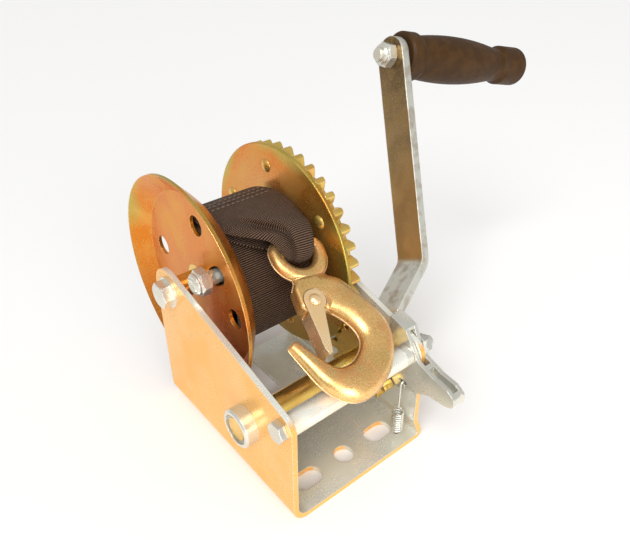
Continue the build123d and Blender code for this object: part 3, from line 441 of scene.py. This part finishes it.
def crank_zinc(finish):
    """Bright zinc with a bronze cast on the crank's flat sides, darker towards the grip."""
    low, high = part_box("crank_arm")

    def color(tree, plating):
        facing, place = facing_and_place(tree)
        flat = remap(tree, calc(tree, "ABSOLUTE", facing["X"]), 0.72, 0.93)
        climb = remap(tree, place["Z"], low.z + 0.25 * (high.z - low.z), high.z)
        clear = blend_color(tree, climb, finish.bronze_bend, shade(finish.bronze, 0.45))
        cloud = blend_color(tree, climb, shade(finish.bronze_bend, 1.3), shade(finish.bronze, 0.70))
        cloudy = blend_color(tree, plating["Cloud"], clear, cloud)
        mottled = blend_color(tree, calc(tree, "MULTIPLY", plating["Patch"], 0.16), cloudy, shade(finish.olive, 0.8))
        speckled = blend_color(
            tree, remap(tree, plating["Grain"], 0.50, 0.72, 0.0, 0.5), mottled, shade(finish.bronze, 2.4),
        )
        stain = calc(tree, "MULTIPLY", plating["Patch"], 0.5)
        stained = blend_color(tree, stain, shade(finish.zinc, 0.90), finish.bronze)
        return blend_color(tree, flat, stained, speckled)
    return plated(
        "Crank Zinc", color, cloud_scale=60.0, roughness=(0.34, 0.50), rubbed_and_highlight=(0.93, 0.90, 0.80), metallic=0.8,
        edge=0.9 * MM,
    )


def yellow_zinc(finish):
    """Yellow plate with drifts of rose and olive."""
    def color(tree, plating):
        drift = blend_color(tree, calc(tree, "MULTIPLY", plating["Cloud"], 0.4), finish.gold, finish.rose)
        return blend_color(tree, calc(tree, "MULTIPLY", plating["Patch"], 0.5), drift, finish.olive)
    return plated("Yellow Zinc", color, cloud_scale=36.0, roughness=(0.20, 0.38), rubbed_and_highlight=(0.95, 0.74, 0.34))


def flange_zinc(finish, name, rose, rose_end, painted_shade_color):
    """A flange's yellow plate: rose at the hub, orange further out, olive at the rim, darker in a painted shade low
    down and at the front.
    """
    rim = (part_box("drum_flange_right")[1].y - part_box("drum_flange_right")[0].y) / 2

    def color(tree, plating):
        centered = tree.nodes.new("ShaderNodeMapping")
        centered.inputs["Location"].default_value = -DRUM
        tree.links.new(tree.nodes.new("ShaderNodeTexCoord").outputs["Object"], centered.inputs["Vector"])
        parts = tree.nodes.new("ShaderNodeSeparateXYZ")
        tree.links.new(centered.outputs[0], parts.inputs[0])
        back, up = parts.outputs["Y"], parts.outputs["Z"]
        squares = [calc(tree, "MULTIPLY", reach, reach) for reach in (back, up)]
        radius = calc(tree, "SQRT", calc(tree, "ADD", *squares))
        wander = calc(tree, "MULTIPLY_ADD", plating["Cloud"], 0.16 * rim, radius)
        bloom = blend_color(tree, remap(tree, wander, 0.55 * rim, rose_end * rim), rose, finish.orange)
        ringed = blend_color(tree, remap(tree, wander, 1.00 * rim, 1.14 * rim), bloom, finish.olive)
        flecked = blend_color(tree, calc(tree, "MULTIPLY", plating["Patch"], 0.30), ringed, finish.gold)
        # Painted shade: darker low down on the outer part and at the front
        outer = remap(tree, radius, 0.45 * rim, 0.90 * rim, 0.45, 1.0)
        low = calc(tree, "MULTIPLY", remap(tree, up, 0.15 * rim, -0.60 * rim), outer)
        front = calc(tree, "MULTIPLY", remap(tree, back, -0.05 * rim, -0.85 * rim), 0.8)
        painted_shade = calc(tree, "MULTIPLY", calc(tree, "MAXIMUM", low, front), 0.72)
        with_painted_shade = blend_color(tree, painted_shade, flecked, painted_shade_color)
        return blend_color(tree, remap(tree, plating["Grain"], 0.52, 0.70, 0.0, 0.3), with_painted_shade, finish.gold)
    return plated(name, color, cloud_scale=24.0, roughness=(0.24, 0.42), rubbed_and_highlight=(0.95, 0.70, 0.30), metallic=0.75)


def forged_gold(finish):
    """Light gold plate over a grainy forging, its bright flecks partly grain and partly painted glints."""
    def color(tree, plating):
        cloudy = blend_color(tree, plating["Cloud"], finish.forged, shade(finish.forged, 0.86))
        rosy = blend_color(tree, calc(tree, "MULTIPLY", plating["Patch"], 0.42), cloudy, finish.rose)
        green = calc(tree, "MULTIPLY", calc(tree, "SUBTRACT", plating["Cloud"], plating["Patch"]), 0.25)
        tinted = blend_color(tree, green, rosy, finish.olive)
        pitted = blend_color(
            tree, remap(tree, plating["Grain"], 0.50, 0.36, 0.0, 0.40), tinted, shade(finish.forged, 0.4),
        )
        # Bright flecks: partly grain, partly painted glints
        speck_and_glint = remap(tree, plating["Grain"], 0.52, 0.66, 0.0, 0.38)
        return blend_color(tree, speck_and_glint, pitted, finish.fleck_and_glint)
    return plated(
        "Forged Gold", color, cloud_scale=45.0, roughness=(0.24, 0.40), rubbed_and_highlight=(0.97, 0.84, 0.58), metallic=0.78,
        grain_scale=1900.0, grain_bump=0.2, coat_weight=0.35,
    )


def latch_gold(finish):
    """Pale gold plate on the pressed latch, its rivet and the hook's ridge."""
    def color(tree, plating):
        pale = blend_color(tree, 0.45, finish.forged, finish.latch)
        return blend_color(tree, calc(tree, "MULTIPLY", plating["Cloud"], 0.35), pale, finish.forged)
    return plated(
        "Latch Gold", color, cloud_scale=60.0, roughness=(0.22, 0.34), rubbed_and_highlight=(0.98, 0.90, 0.70), metallic=0.72,
        coat_weight=0.5,
    )


def grip_plastic(finish):
    """Dark moulded plastic with a fine leathery grain."""
    material, tree, shader = new_material("Grip Plastic")
    plating = use_group(tree, plating_group(), Cloud_Scale=60.0, Grain_Scale=1100.0)
    tree.links.new(
        blend_color(tree, plating["Patch"], finish.grip, shade(finish.grip, 1.35)), shader.inputs["Base Color"],
    )
    tree.links.new(remap(tree, plating["Grain"], 0.3, 0.7, 0.38, 0.62), shader.inputs["Roughness"])
    tree.links.new(bump(tree, plating["Grain"], 0.35, 0.2 * MM), shader.inputs["Normal"])
    shader.inputs["Specular IOR Level"].default_value = 0.16
    return material


def webbing_material(strap):
    """Woven polyester: ribs across the webbing, with a soft sheen and a painted highlight on the rib crowns."""
    material, tree, shader = new_material("Webbing")
    weave = use_group(tree, weave_group(), Rib=strap.rib, Yarn=strap.yarn)
    plating = use_group(tree, plating_group(), Cloud_Scale=70.0, Grain_Scale=2600.0)
    # Painted highlight on the rib crowns, broken by grain
    crown = calc(tree, "MULTIPLY", weave["Crown"], remap(tree, plating["Grain"], 0.2, 0.8, 0.35, 1.0))
    tree.links.new(blend_color(tree, crown, strap.color, strap.wear_and_highlight), shader.inputs["Base Color"])
    tree.links.new(remap(tree, plating["Patch"], 0.0, 1.0, 0.55, 0.75), shader.inputs["Roughness"])
    shader.inputs["Specular IOR Level"].default_value = 0.14
    shader.inputs["Sheen Weight"].default_value = 0.03
    shader.inputs["Sheen Roughness"].default_value = 0.4
    tree.links.new(bump(tree, weave["Height"], 0.8, 0.3 * MM), shader.inputs["Normal"])
    return material


def thread_material(strap):
    """Twisted sewing thread."""
    material, tree, shader = new_material("Thread")
    plating = use_group(tree, plating_group(), Cloud_Scale=200.0, Grain_Scale=3000.0)
    tree.links.new(
        blend_color(tree, plating["Grain"], shade(strap.thread, 0.6), strap.thread), shader.inputs["Base Color"],
    )
    tree.links.new(remap(tree, plating["Grain"], 0.3, 0.7, 0.5, 0.7), shader.inputs["Roughness"])
    return material


# Mesh helpers


def coat(material, *nodes):
    """Gives CAD nodes a material."""
    for name in nodes:
        data = frame["nodes"][name].data
        data.materials.clear()
        data.materials.append(material)


def add_piece(bm, name, material):
    """Makes a smooth object at the origin from a bmesh."""
    for face in bm.faces:
        face.smooth = True
    mesh = bpy.data.meshes.new(name)
    bm.to_mesh(mesh)
    bm.free()
    mesh.materials.append(material)
    piece = bpy.data.objects.new(name, mesh)
    bpy.context.scene.collection.objects.link(piece)
    return piece


def on_drum(x, angle, radius):
    """A point by its place along the axle, its angle round the drum and its radius, in mm and degrees."""
    turn = math.radians(angle)
    return Vector((x * MM, DRUM.y + radius * MM * math.cos(turn), DRUM.z + radius * MM * math.sin(turn)))


def at_eye(across, angle, radius):
    """A point round the hook's eye bar: 90 degrees is above the bar, 0 towards the hook's tip."""
    turn = math.radians(angle)
    return EYE_BAR + (ACROSS * across + (ALONG * math.cos(turn) + HOOK_UP * math.sin(turn)) * radius) * MM


# The strap's loose end: rows from the sewn end, over the eye bar and back under; columns from left to right
TAIL_ROWS = (
    (on_drum, (
        (-26.2, 62, 37.3), (-15, 62, 37.3), (-8.7, 62, 37.3), (-5.7, 62, 37.3), (5.8, 62, 37.3), (15.8, 62, 37.3),
        (22.8, 62, 37.3),
    )),
    (on_drum, (
        (-26.2, 88, 37.5), (-15, 88, 37.6), (-8.7, 88, 37.6), (-5.7, 88, 37.6), (5.8, 88, 37.7), (15.8, 88, 37.8),
        (22.8, 88, 37.6),
    )),
    (on_drum, (
        (-26.2, 101, 37.6), (-16, 101, 38.0), (-9, 101, 37.9), (-6, 100, 38.4), (6, 100, 39.0), (16, 100, 39.6),
        (22.8, 100, 38.4),
    )),
    (on_drum, (
        (-25.4, 110, 38.0), (-17, 110, 39.6), (-10.5, 111, 38.4), (-9.8, 110, 40.4), (6, 110, 42.0), (17, 110, 43.0),
        (22.6, 109, 40.2),
    )),
    (on_drum, (
        (-22.5, 118, 39.4), (-15.5, 118, 43.2), (-4.8, 119, 38.8), (-8.4, 118, 44.6), (6, 119, 46.5), (17.5, 120, 47.0),
        (21.6, 120, 42.4),
    )),
    (on_drum, (
        (-16.5, 128, 43.2), (-10.5, 128, 47.6), (0.3, 128, 41.2), (-4.2, 127, 48.8), (8, 128, 51.2), (16.0, 129, 51.5),
        (19.8, 131, 45.6),
    )),
    (at_eye, (
        (-14.4, 96, 7.8), (-10.6, 108, 12.4), (-3.2, 126, 7.1), (-6.6, 124, 13.4), (1.4, 121, 15.0), (7.6, 122, 14.8),
        (10.0, 130, 10.0),
    )),
    (at_eye, (
        (-13.2, 58, 8.8), (-9.6, 70, 12.0), (-3.2, 84, 7.1), (-6.0, 86, 12.2), (1.4, 88, 13.8), (7.0, 92, 13.0),
        (8.8, 98, 8.6),
    )),
    (at_eye, (
        (-10.8, 34, 10.0), (-8.0, 40, 12.2), (-3.4, 44, 8.5), (-5.4, 45, 12.6), (1.4, 47, 14.0), (6.0, 47, 12.8),
        (7.2, 53, 8.8),
    )),
    (at_eye, (
        (-7.1, 9, 9.0), (-5.6, 6, 10.6), (-3.8, 4, 9.6), (-3.6, 4, 11.9), (1.4, 5, 12.7), (5.2, 5, 11.2),
        (6.6, 5, 8.6),
    )),
    (at_eye, (
        (-6.9, -44, 7.4), (-5.2, -44, 8.2), (-3.6, -44, 8.2), (-3.0, -44, 8.9), (1.4, -44, 9.4), (5.2, -44, 8.6),
        (6.5, -44, 7.4),
    )),
    (at_eye, (
        (-7.4, -100, 6.1), (-5, -100, 6.1), (-3.4, -100, 6.1), (-3.0, -100, 6.1), (1.4, -100, 6.3), (5.8, -100, 6.2),
        (7.0, -100, 6.1),
    )),
    (on_drum, (
        (-6, 140, 36.6), (-3, 140, 36.6), (0, 140, 36.6), (3, 140, 36.6), (9, 140, 36.8), (14, 140, 36.8),
        (16.5, 139, 36.8),
    )),
    (on_drum, (
        (-18, 127, 34.6), (-12, 127, 34.6), (-6, 127, 34.7), (-2, 127, 34.7), (8, 127, 34.8), (16, 127, 34.8),
        (20.5, 126, 34.8),
    )),
    (on_drum, (
        (-25.2, 113, 34.4), (-17, 112, 34.4), (-9, 112, 34.4), (-5, 112, 34.4), (6, 112, 34.4), (16, 112, 34.4),
        (22.4, 111, 34.4),
    )),
    (on_drum, (
        (-26.2, 88, 34.4), (-15, 88, 34.4), (-8.7, 88, 34.4), (-5.7, 88, 34.4), (5.8, 88, 34.4), (15.8, 88, 34.4),
        (22.8, 88, 34.4),
    )),
    (on_drum, (
        (-26.2, 62, 34.4), (-15, 62, 34.4), (-8.7, 62, 34.4), (-5.7, 62, 34.4), (5.8, 62, 34.4), (15.8, 62, 34.4),
        (22.8, 62, 34.4),
    )),
)
LIP_COLUMN = 3
TAIL_LEVELS = 4

# The seam's rows and stitches, in mm and degrees; a stitch's length is a share of the distance between stitches
SEAM_ANGLES = (78.0, 84.0, 90.0)
SEAM_RADIUS = 37.65
SEAM_REACH = (-24.0, 20.5)
STITCH_SHARE = 0.38
THREAD_SIZE = (0.32 * MM, 0.42 * MM)

# The wound band: where it ends and hangs slack round the drum, its rounded edge and its fineness
SLACK_ARC = (158.0, 316.0)
BAND_END = 66.0
BAND_LIP = 0.35
HALF_TURN_STEPS = 60

# The hook's ridge: where the ring's centre lies, and how far the ridge keeps from the strap and the latch
RING_REACH = 6.5 * MM
RIDGE_CLEAR = {"ring": 14.5 * MM, "latch": 11.0 * MM}
RIDGE_MERGE = 0.002 * MM
RIDGE_CUT = 0.0001 * MM

# Stage, in metres
FLOOR_REACH = 20.0
SKY_COLOR = (1.0, 0.99, 0.97, 1.0)
KEY_PLACE = (-0.55, -0.38, 0.85)
FILL_PLACE = (-0.20, -0.95, 0.34)
FILL_SIZE = 0.6
LAMP_AIM = Vector((0.02, 0.0, 0.08))
SENSOR_WIDTH = 36.0
NEAR_CLIP = 0.01


class WINCH_OT_metal(bpy.types.Operator):
    """Coats the CAD nodes with plated metal and the grip with plastic"""

    bl_idname = "winch.metal"
    bl_label = "Metal and Grip"

    def execute(self, context):
        finish = context.scene.winch_finish
        coat(frame_zinc(finish), "frame")
        left = flange_zinc(
            finish, "Left Flange Zinc", rose=finish.left_web, rose_end=0.90, painted_shade_color=finish.left_painted_shade,
        )
        # The right flange's painted shade is a dark olive
        right = flange_zinc(
            finish, "Right Flange Zinc", rose=finish.right_web, rose_end=1.15, painted_shade_color=shade(finish.olive, 0.62),
        )
        coat(left, "drum_flange_left")
        coat(right, "drum_flange_right")
        coat(
            yellow_zinc(finish), "ring_gear", "gear_rivets", "drum_hub", "axle_spacer_left", "axle_spacer_right",
            "drive_shaft", "pinion", "ratchet_wheel", "crank_spacer",
        )
        coat(forged_gold(finish), "hook")
        coat(latch_gold(finish), "hook_latch", "latch_rivet")
        coat(crank_zinc(finish), "crank_arm")
        coat(
            bright_zinc(finish), "axle_bolt", "axle_nut", "axle_washers", "strap_bolt", "strap_bolt_nut",
            "tie_bolt", "tie_nut", "tie_washer", "pawl", "pawl_bush_inner", "pawl_bush_outer", "pawl_spring",
            "crank_nut", "crank_washer", "grip_bolt", "grip_nut", "grip_washer", "shaft_bush_left",
            "shaft_bush_right",
        )
        coat(tube_zinc(finish), "tie_tube")
        coat(grip_plastic(finish), "grip")
        return {"FINISHED"}


def cap(bm, section):
    """Closes the end of a band."""
    bmesh.ops.contextual_create(bm, geom=[item for item in section if isinstance(item, bmesh.types.BMEdge)])


def map_weave(bm, radius):
    """Gives a band round the drum its weave map: across and along the webbing, in metres."""
    layer = bm.loops.layers.uv.new("Weave")
    for face in bm.faces:
        middle = face.calc_center_median() - DRUM
        face_angle = math.atan2(middle.z, middle.y)
        for corner in face.loops:
            spot = corner.vert.co - DRUM
            angle = math.atan2(spot.z, spot.y)
            angle += 2 * math.pi * round((face_angle - angle) / (2 * math.pi))
            corner[layer].uv = (corner.vert.co.x, angle * radius)


def hang_slack(bm, slack):
    """Lets a band hang away from the drum over the slack's arc."""
    for vert in bm.verts:
        spot = vert.co - DRUM
        spot.x = 0.0
        turn = math.degrees(math.atan2(spot.z, spot.y)) % 360.0
        share = min(max((turn - SLACK_ARC[0]) / (SLACK_ARC[1] - SLACK_ARC[0]), 0.0), 1.0)
        vert.co += spot.normalized() * slack * math.sin(math.pi * share) ** 2


def wind_band(strap, start, turns, slack=0.0):
    """A spiral band of webbing round the drum, with its own weave map; slack hangs it below the drum."""
    low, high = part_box("strap_roll")
    step = strap.thickness + strap.gap
    lip = strap.thickness * BAND_LIP
    end_turn = Vector((0.0, math.cos(math.radians(BAND_END)), math.sin(math.radians(BAND_END))))
    outline = (
        (low.x + lip, 0.0), (high.x - lip, 0.0), (high.x, lip), (high.x, strap.thickness - lip),
        (high.x - lip, strap.thickness), (low.x + lip, strap.thickness), (low.x, strap.thickness - lip), (low.x, lip),
    )
    bm = bmesh.new()
    corners = [bm.verts.new(Vector((x, DRUM.y, DRUM.z)) + end_turn * (start + lift)) for x, lift in outline]
    section = corners + [bm.edges.new(pair) for pair in zip(corners, corners[1:] + corners[:1])]
    cap(bm, section)
    for half_turn in range(2 * turns):
        center = DRUM + end_turn * (step / 2 * (half_turn % 2))
        wound = bmesh.ops.spin(
            bm, geom=section, cent=center, axis=(1, 0, 0), angle=math.pi, steps=HALF_TURN_STEPS, use_merge=False,
        )
        section = wound["geom_last"]
    cap(bm, section)
    bmesh.ops.recalc_face_normals(bm, faces=bm.faces)
    map_weave(bm, (high.z - low.z) / 2)
    hang_slack(bm, slack)
    return bm


def loose_turn_start(strap):
    """Inner radius at which the outermost turn of the webbing starts."""
    low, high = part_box("strap_roll")
    return (high.z - low.z) / 2 - 2 * strap.thickness - strap.gap


class WINCH_OT_strap_roll(bpy.types.Operator):
    """Winds the webbing's inner turns round the drum as one spiral band"""

    bl_idname = "winch.strap_roll"
    bl_label = "Strap Roll"

    def execute(self, context):
        strap = context.scene.winch_strap
        start = loose_turn_start(strap) - (strap.turns + 1) * (strap.thickness + strap.gap)
        piece = add_piece(wind_band(strap, start, strap.turns), "wound_webbing", webbing_material(strap))
        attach(piece, "drum")
        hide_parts("strap_roll", "strap_core")
        return {"FINISHED"}


class WINCH_OT_loose_turn(bpy.types.Operator):
    """Hangs the webbing's outermost turn loosely round the roll"""

    bl_idname = "winch.loose_turn"
    bl_label = "Loose Turn"

    def execute(self, context):
        strap = context.scene.winch_strap
        band = wind_band(strap, loose_turn_start(strap), 1, strap.slack)
        piece = add_piece(band, "loose_turn", bpy.data.materials["Webbing"])
        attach(piece, "tail")
        return {"FINISHED"}


class WINCH_OT_strap_tail(bpy.types.Operator):
    """Folds the sewn end of the webbing over the hook's eye bar"""

    bl_idname = "winch.strap_tail"
    bl_label = "Strap End"

    def execute(self, context):
        strap = context.scene.winch_strap
        columns = len(TAIL_ROWS[0][1])
        bm = bmesh.new()
        bmesh.ops.create_grid(bm, x_segments=columns - 1, y_segments=len(TAIL_ROWS) - 1, size=0.5)
        layer = bm.loops.layers.uv.new("Weave")
        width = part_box("strap_roll")[1].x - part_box("strap_roll")[0].x
        cage = {}
        for vert in bm.verts:
            column = round((vert.co.x + 0.5) * (columns - 1))
            row = round((vert.co.y + 0.5) * (len(TAIL_ROWS) - 1))
            cage[vert] = (column, row)
        places = [[place(*spot) for spot in spots] for place, spots in TAIL_ROWS]
        run = [0.0]
        for below, above in zip(places, places[1:]):
            run.append(run[-1] + (above[LIP_COLUMN] - below[LIP_COLUMN]).length)
        for face in bm.faces:
            for corner in face.loops:
                column, row = cage[corner.vert]
                share = (places[0][column].x - places[0][0].x) / (places[0][-1].x - places[0][0].x)
                corner[layer].uv = (share * width, run[row])
        for vert, (column, row) in cage.items():
            vert.co = places[row][column]
        bm.normal_update()
        sewn = min(bm.faces, key=lambda face: (face.calc_center_median() - places[0][0]).length)
        if sewn.normal.dot(sewn.calc_center_median() - DRUM) < 0:
            bmesh.ops.reverse_faces(bm, faces=bm.faces)
        piece = add_piece(bm, "strap_end", bpy.data.materials["Webbing"])
        smooth = piece.modifiers.new("Smooth", "SUBSURF")
        smooth.levels = smooth.render_levels = TAIL_LEVELS
        wall = piece.modifiers.new("Wall", "SOLIDIFY")
        wall.thickness = strap.thickness
        wall.offset = -1.0
        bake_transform(piece)
        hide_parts("strap_tail")
        return {"FINISHED"}


class WINCH_OT_stitching(bpy.types.Operator):
    """Sews rows of stitches across the strap's end"""

    bl_idname = "winch.stitching"
    bl_label = "Stitching"

    def execute(self, context):
        strap = context.scene.winch_strap
        bm = bmesh.new()
        count = int((SEAM_REACH[1] - SEAM_REACH[0]) * MM / strap.stitch)
        for angle in SEAM_ANGLES:
            for number in range(count):
                x = SEAM_REACH[0] + (number + 0.5) * strap.stitch / MM
                spot = on_drum(x, angle, SEAM_RADIUS)
                turned = Matrix.Rotation(math.radians(angle), 4, "X")
                size = Matrix.Diagonal((STITCH_SHARE * strap.stitch, *THREAD_SIZE, 1.0))
                bmesh.ops.create_icosphere(
                    bm, subdivisions=2, radius=1.0, matrix=Matrix.Translation(spot) @ turned @ size,
                )
        piece = add_piece(bm, "seam_stitches", thread_material(strap))
        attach(piece, "tail")
        return {"FINISHED"}


class WINCH_OT_hook_ridge(bpy.types.Operator):
    """Raises the forging's thin parting ridge round the hook"""

    bl_idname = "winch.hook_ridge"
    bl_label = "Hook Ridge"

    def execute(self, context):
        width = context.scene.winch_finish.ridge
        bm = bmesh.new()
        bm.from_mesh(frame["nodes"]["hook"].data)
        bmesh.ops.remove_doubles(bm, verts=bm.verts, dist=RIDGE_MERGE)
        for side in (1.0, -1.0):
            bmesh.ops.bisect_plane(
                bm, geom=bm.verts[:] + bm.edges[:] + bm.faces[:], dist=RIDGE_CUT,
                plane_co=EYE_BAR + HOOK_UP * side * width / 2, plane_no=HOOK_UP * side, clear_outer=True,
            )
        ring = EYE_BAR + ALONG * RING_REACH
        latch = Vector(joints["latch_swing"]["pos_m"])
        hidden = []
        for face in bm.faces:
            middle = face.calc_center_median()
            in_ring = (middle - ring).length < RIDGE_CLEAR["ring"] and face.normal.dot(ring - middle) > 0
            at_latch = (middle - latch).length < RIDGE_CLEAR["latch"]
            if in_ring or at_latch or abs(face.normal.dot(HOOK_UP)) > 0.5:
                hidden.append(face)
        bmesh.ops.delete(bm, geom=hidden, context="FACES")
        piece = add_piece(bm, "hook_ridge", bpy.data.materials["Latch Gold"])
        wall = piece.modifiers.new("Wall", "SOLIDIFY")
        wall.thickness = 0.5 * width
        wall.offset = 1.0
        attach(piece, "hook")
        return {"FINISHED"}


def add_floor(stage):
    """A wide plain floor."""
    material, tree, shader = new_material("Floor")
    shader.inputs["Base Color"].default_value = (*stage.floor, 1.0)
    shader.inputs["Roughness"].default_value = 0.7
    bm = bmesh.new()
    bmesh.ops.create_grid(bm, x_segments=1, y_segments=1, size=FLOOR_REACH)
    floor = add_piece(bm, "floor", material)


def light_world(scene, stage):
    """An even sky, which the camera sees in the floor's colour."""
    world = bpy.data.worlds.new("Studio")
    scene.world = world
    world.use_nodes = True
    nodes, links = world.node_tree.nodes, world.node_tree.links
    sky = nodes["Background"]
    sky.inputs["Color"].default_value = SKY_COLOR
    sky.inputs["Strength"].default_value = stage.sky
    wall = nodes.new("ShaderNodeBackground")
    wall.inputs["Color"].default_value = (*stage.floor, 1.0)
    seen = nodes.new("ShaderNodeMixShader")
    links.new(nodes.new("ShaderNodeLightPath").outputs["Is Camera Ray"], seen.inputs[0])
    links.new(sky.outputs[0], seen.inputs[1])
    links.new(wall.outputs[0], seen.inputs[2])
    links.new(seen.outputs[0], nodes["World Output"].inputs["Surface"])
    scene.view_settings.view_transform = "Standard"


def add_lamps(scene, stage):
    """A wide sun from the upper left and a soft fill from the front."""
    fill = bpy.data.lights.new("fill", "AREA")
    fill.energy = stage.fill
    fill.size = FILL_SIZE
    key = bpy.data.lights.new("key", "SUN")
    key.energy = stage.key
    key.angle = stage.key_spread
    for light, place in ((key, KEY_PLACE), (fill, FILL_PLACE)):
        lamp = bpy.data.objects.new(light.name, light)
        scene.collection.objects.link(lamp)
        lamp.location = place
        lamp.rotation_mode = "QUATERNION"
        lamp.rotation_quaternion = (LAMP_AIM - lamp.location).to_track_quat("-Z", "Y")


def add_camera(scene, stage):
    """The photograph's camera."""
    optics = bpy.data.cameras.new("photo")
    optics.lens = stage.lens
    optics.sensor_width = SENSOR_WIDTH
    optics.sensor_fit = "HORIZONTAL"
    optics.clip_start = NEAR_CLIP
    camera = bpy.data.objects.new("photo", optics)
    scene.collection.objects.link(camera)
    flat = math.cos(stage.elevation)
    behind = Vector((
        math.sin(stage.azimuth) * flat, -math.cos(stage.azimuth) * flat, math.sin(stage.elevation),
    ))
    camera.location = stage.camera_place
    camera.rotation_mode = "QUATERNION"
    camera.rotation_quaternion = (-behind).to_track_quat("-Z", "Y")
    scene.camera = camera


class WINCH_OT_stage(bpy.types.Operator):
    """Sets up the floor, the light and the camera"""

    bl_idname = "winch.stage"
    bl_label = "Stage"

    def execute(self, context):
        stage = context.scene.winch_stage
        add_floor(stage)
        light_world(context.scene, stage)
        add_lamps(context.scene, stage)
        add_camera(context.scene, stage)
        return {"FINISHED"}


class WINCH_PT_pieces(bpy.types.Panel):
    """Lists the winch's settings and pieces"""

    bl_label = "Hand Winch"
    bl_idname = "WINCH_PT_pieces"
    bl_space_type = "VIEW_3D"
    bl_region_type = "UI"
    bl_category = "Winch"

    def draw(self, context):
        layout = self.layout
        for group in (context.scene.winch_strap, context.scene.winch_finish, context.scene.winch_stage):
            column = layout.column(align=True)
            for name in group.bl_rna.properties.keys():
                if name not in ("rna_type", "name"):
                    column.prop(group, name)
        for operator in OPERATORS:
            layout.operator(operator.bl_idname)


SETTINGS = (
    ("winch_strap", WinchStrapSettings),
    ("winch_finish", WinchFinishSettings),
    ("winch_stage", WinchStageSettings),
)
OPERATORS = (
    WINCH_OT_metal, WINCH_OT_strap_roll, WINCH_OT_loose_turn, WINCH_OT_strap_tail, WINCH_OT_stitching,
    WINCH_OT_hook_ridge, WINCH_OT_stage,
)


def register():
    for name, group in SETTINGS:
        bpy.utils.register_class(group)
        setattr(bpy.types.Scene, name, PointerProperty(type=group))
    for operator in OPERATORS:
        bpy.utils.register_class(operator)
    bpy.utils.register_class(WINCH_PT_pieces)


def unregister():
    bpy.utils.unregister_class(WINCH_PT_pieces)
    for operator in reversed(OPERATORS):
        bpy.utils.unregister_class(operator)
    for name, group in reversed(SETTINGS):
        delattr(bpy.types.Scene, name)
        bpy.utils.unregister_class(group)


def main():
    register()
    bpy.ops.winch.metal()
    bpy.ops.winch.strap_roll()
    bpy.ops.winch.loose_turn()
    bpy.ops.winch.strap_tail()
    bpy.ops.winch.stitching()
    bpy.ops.winch.hook_ridge()
    bpy.ops.winch.stage()


if __name__ == "__main__":
    main()
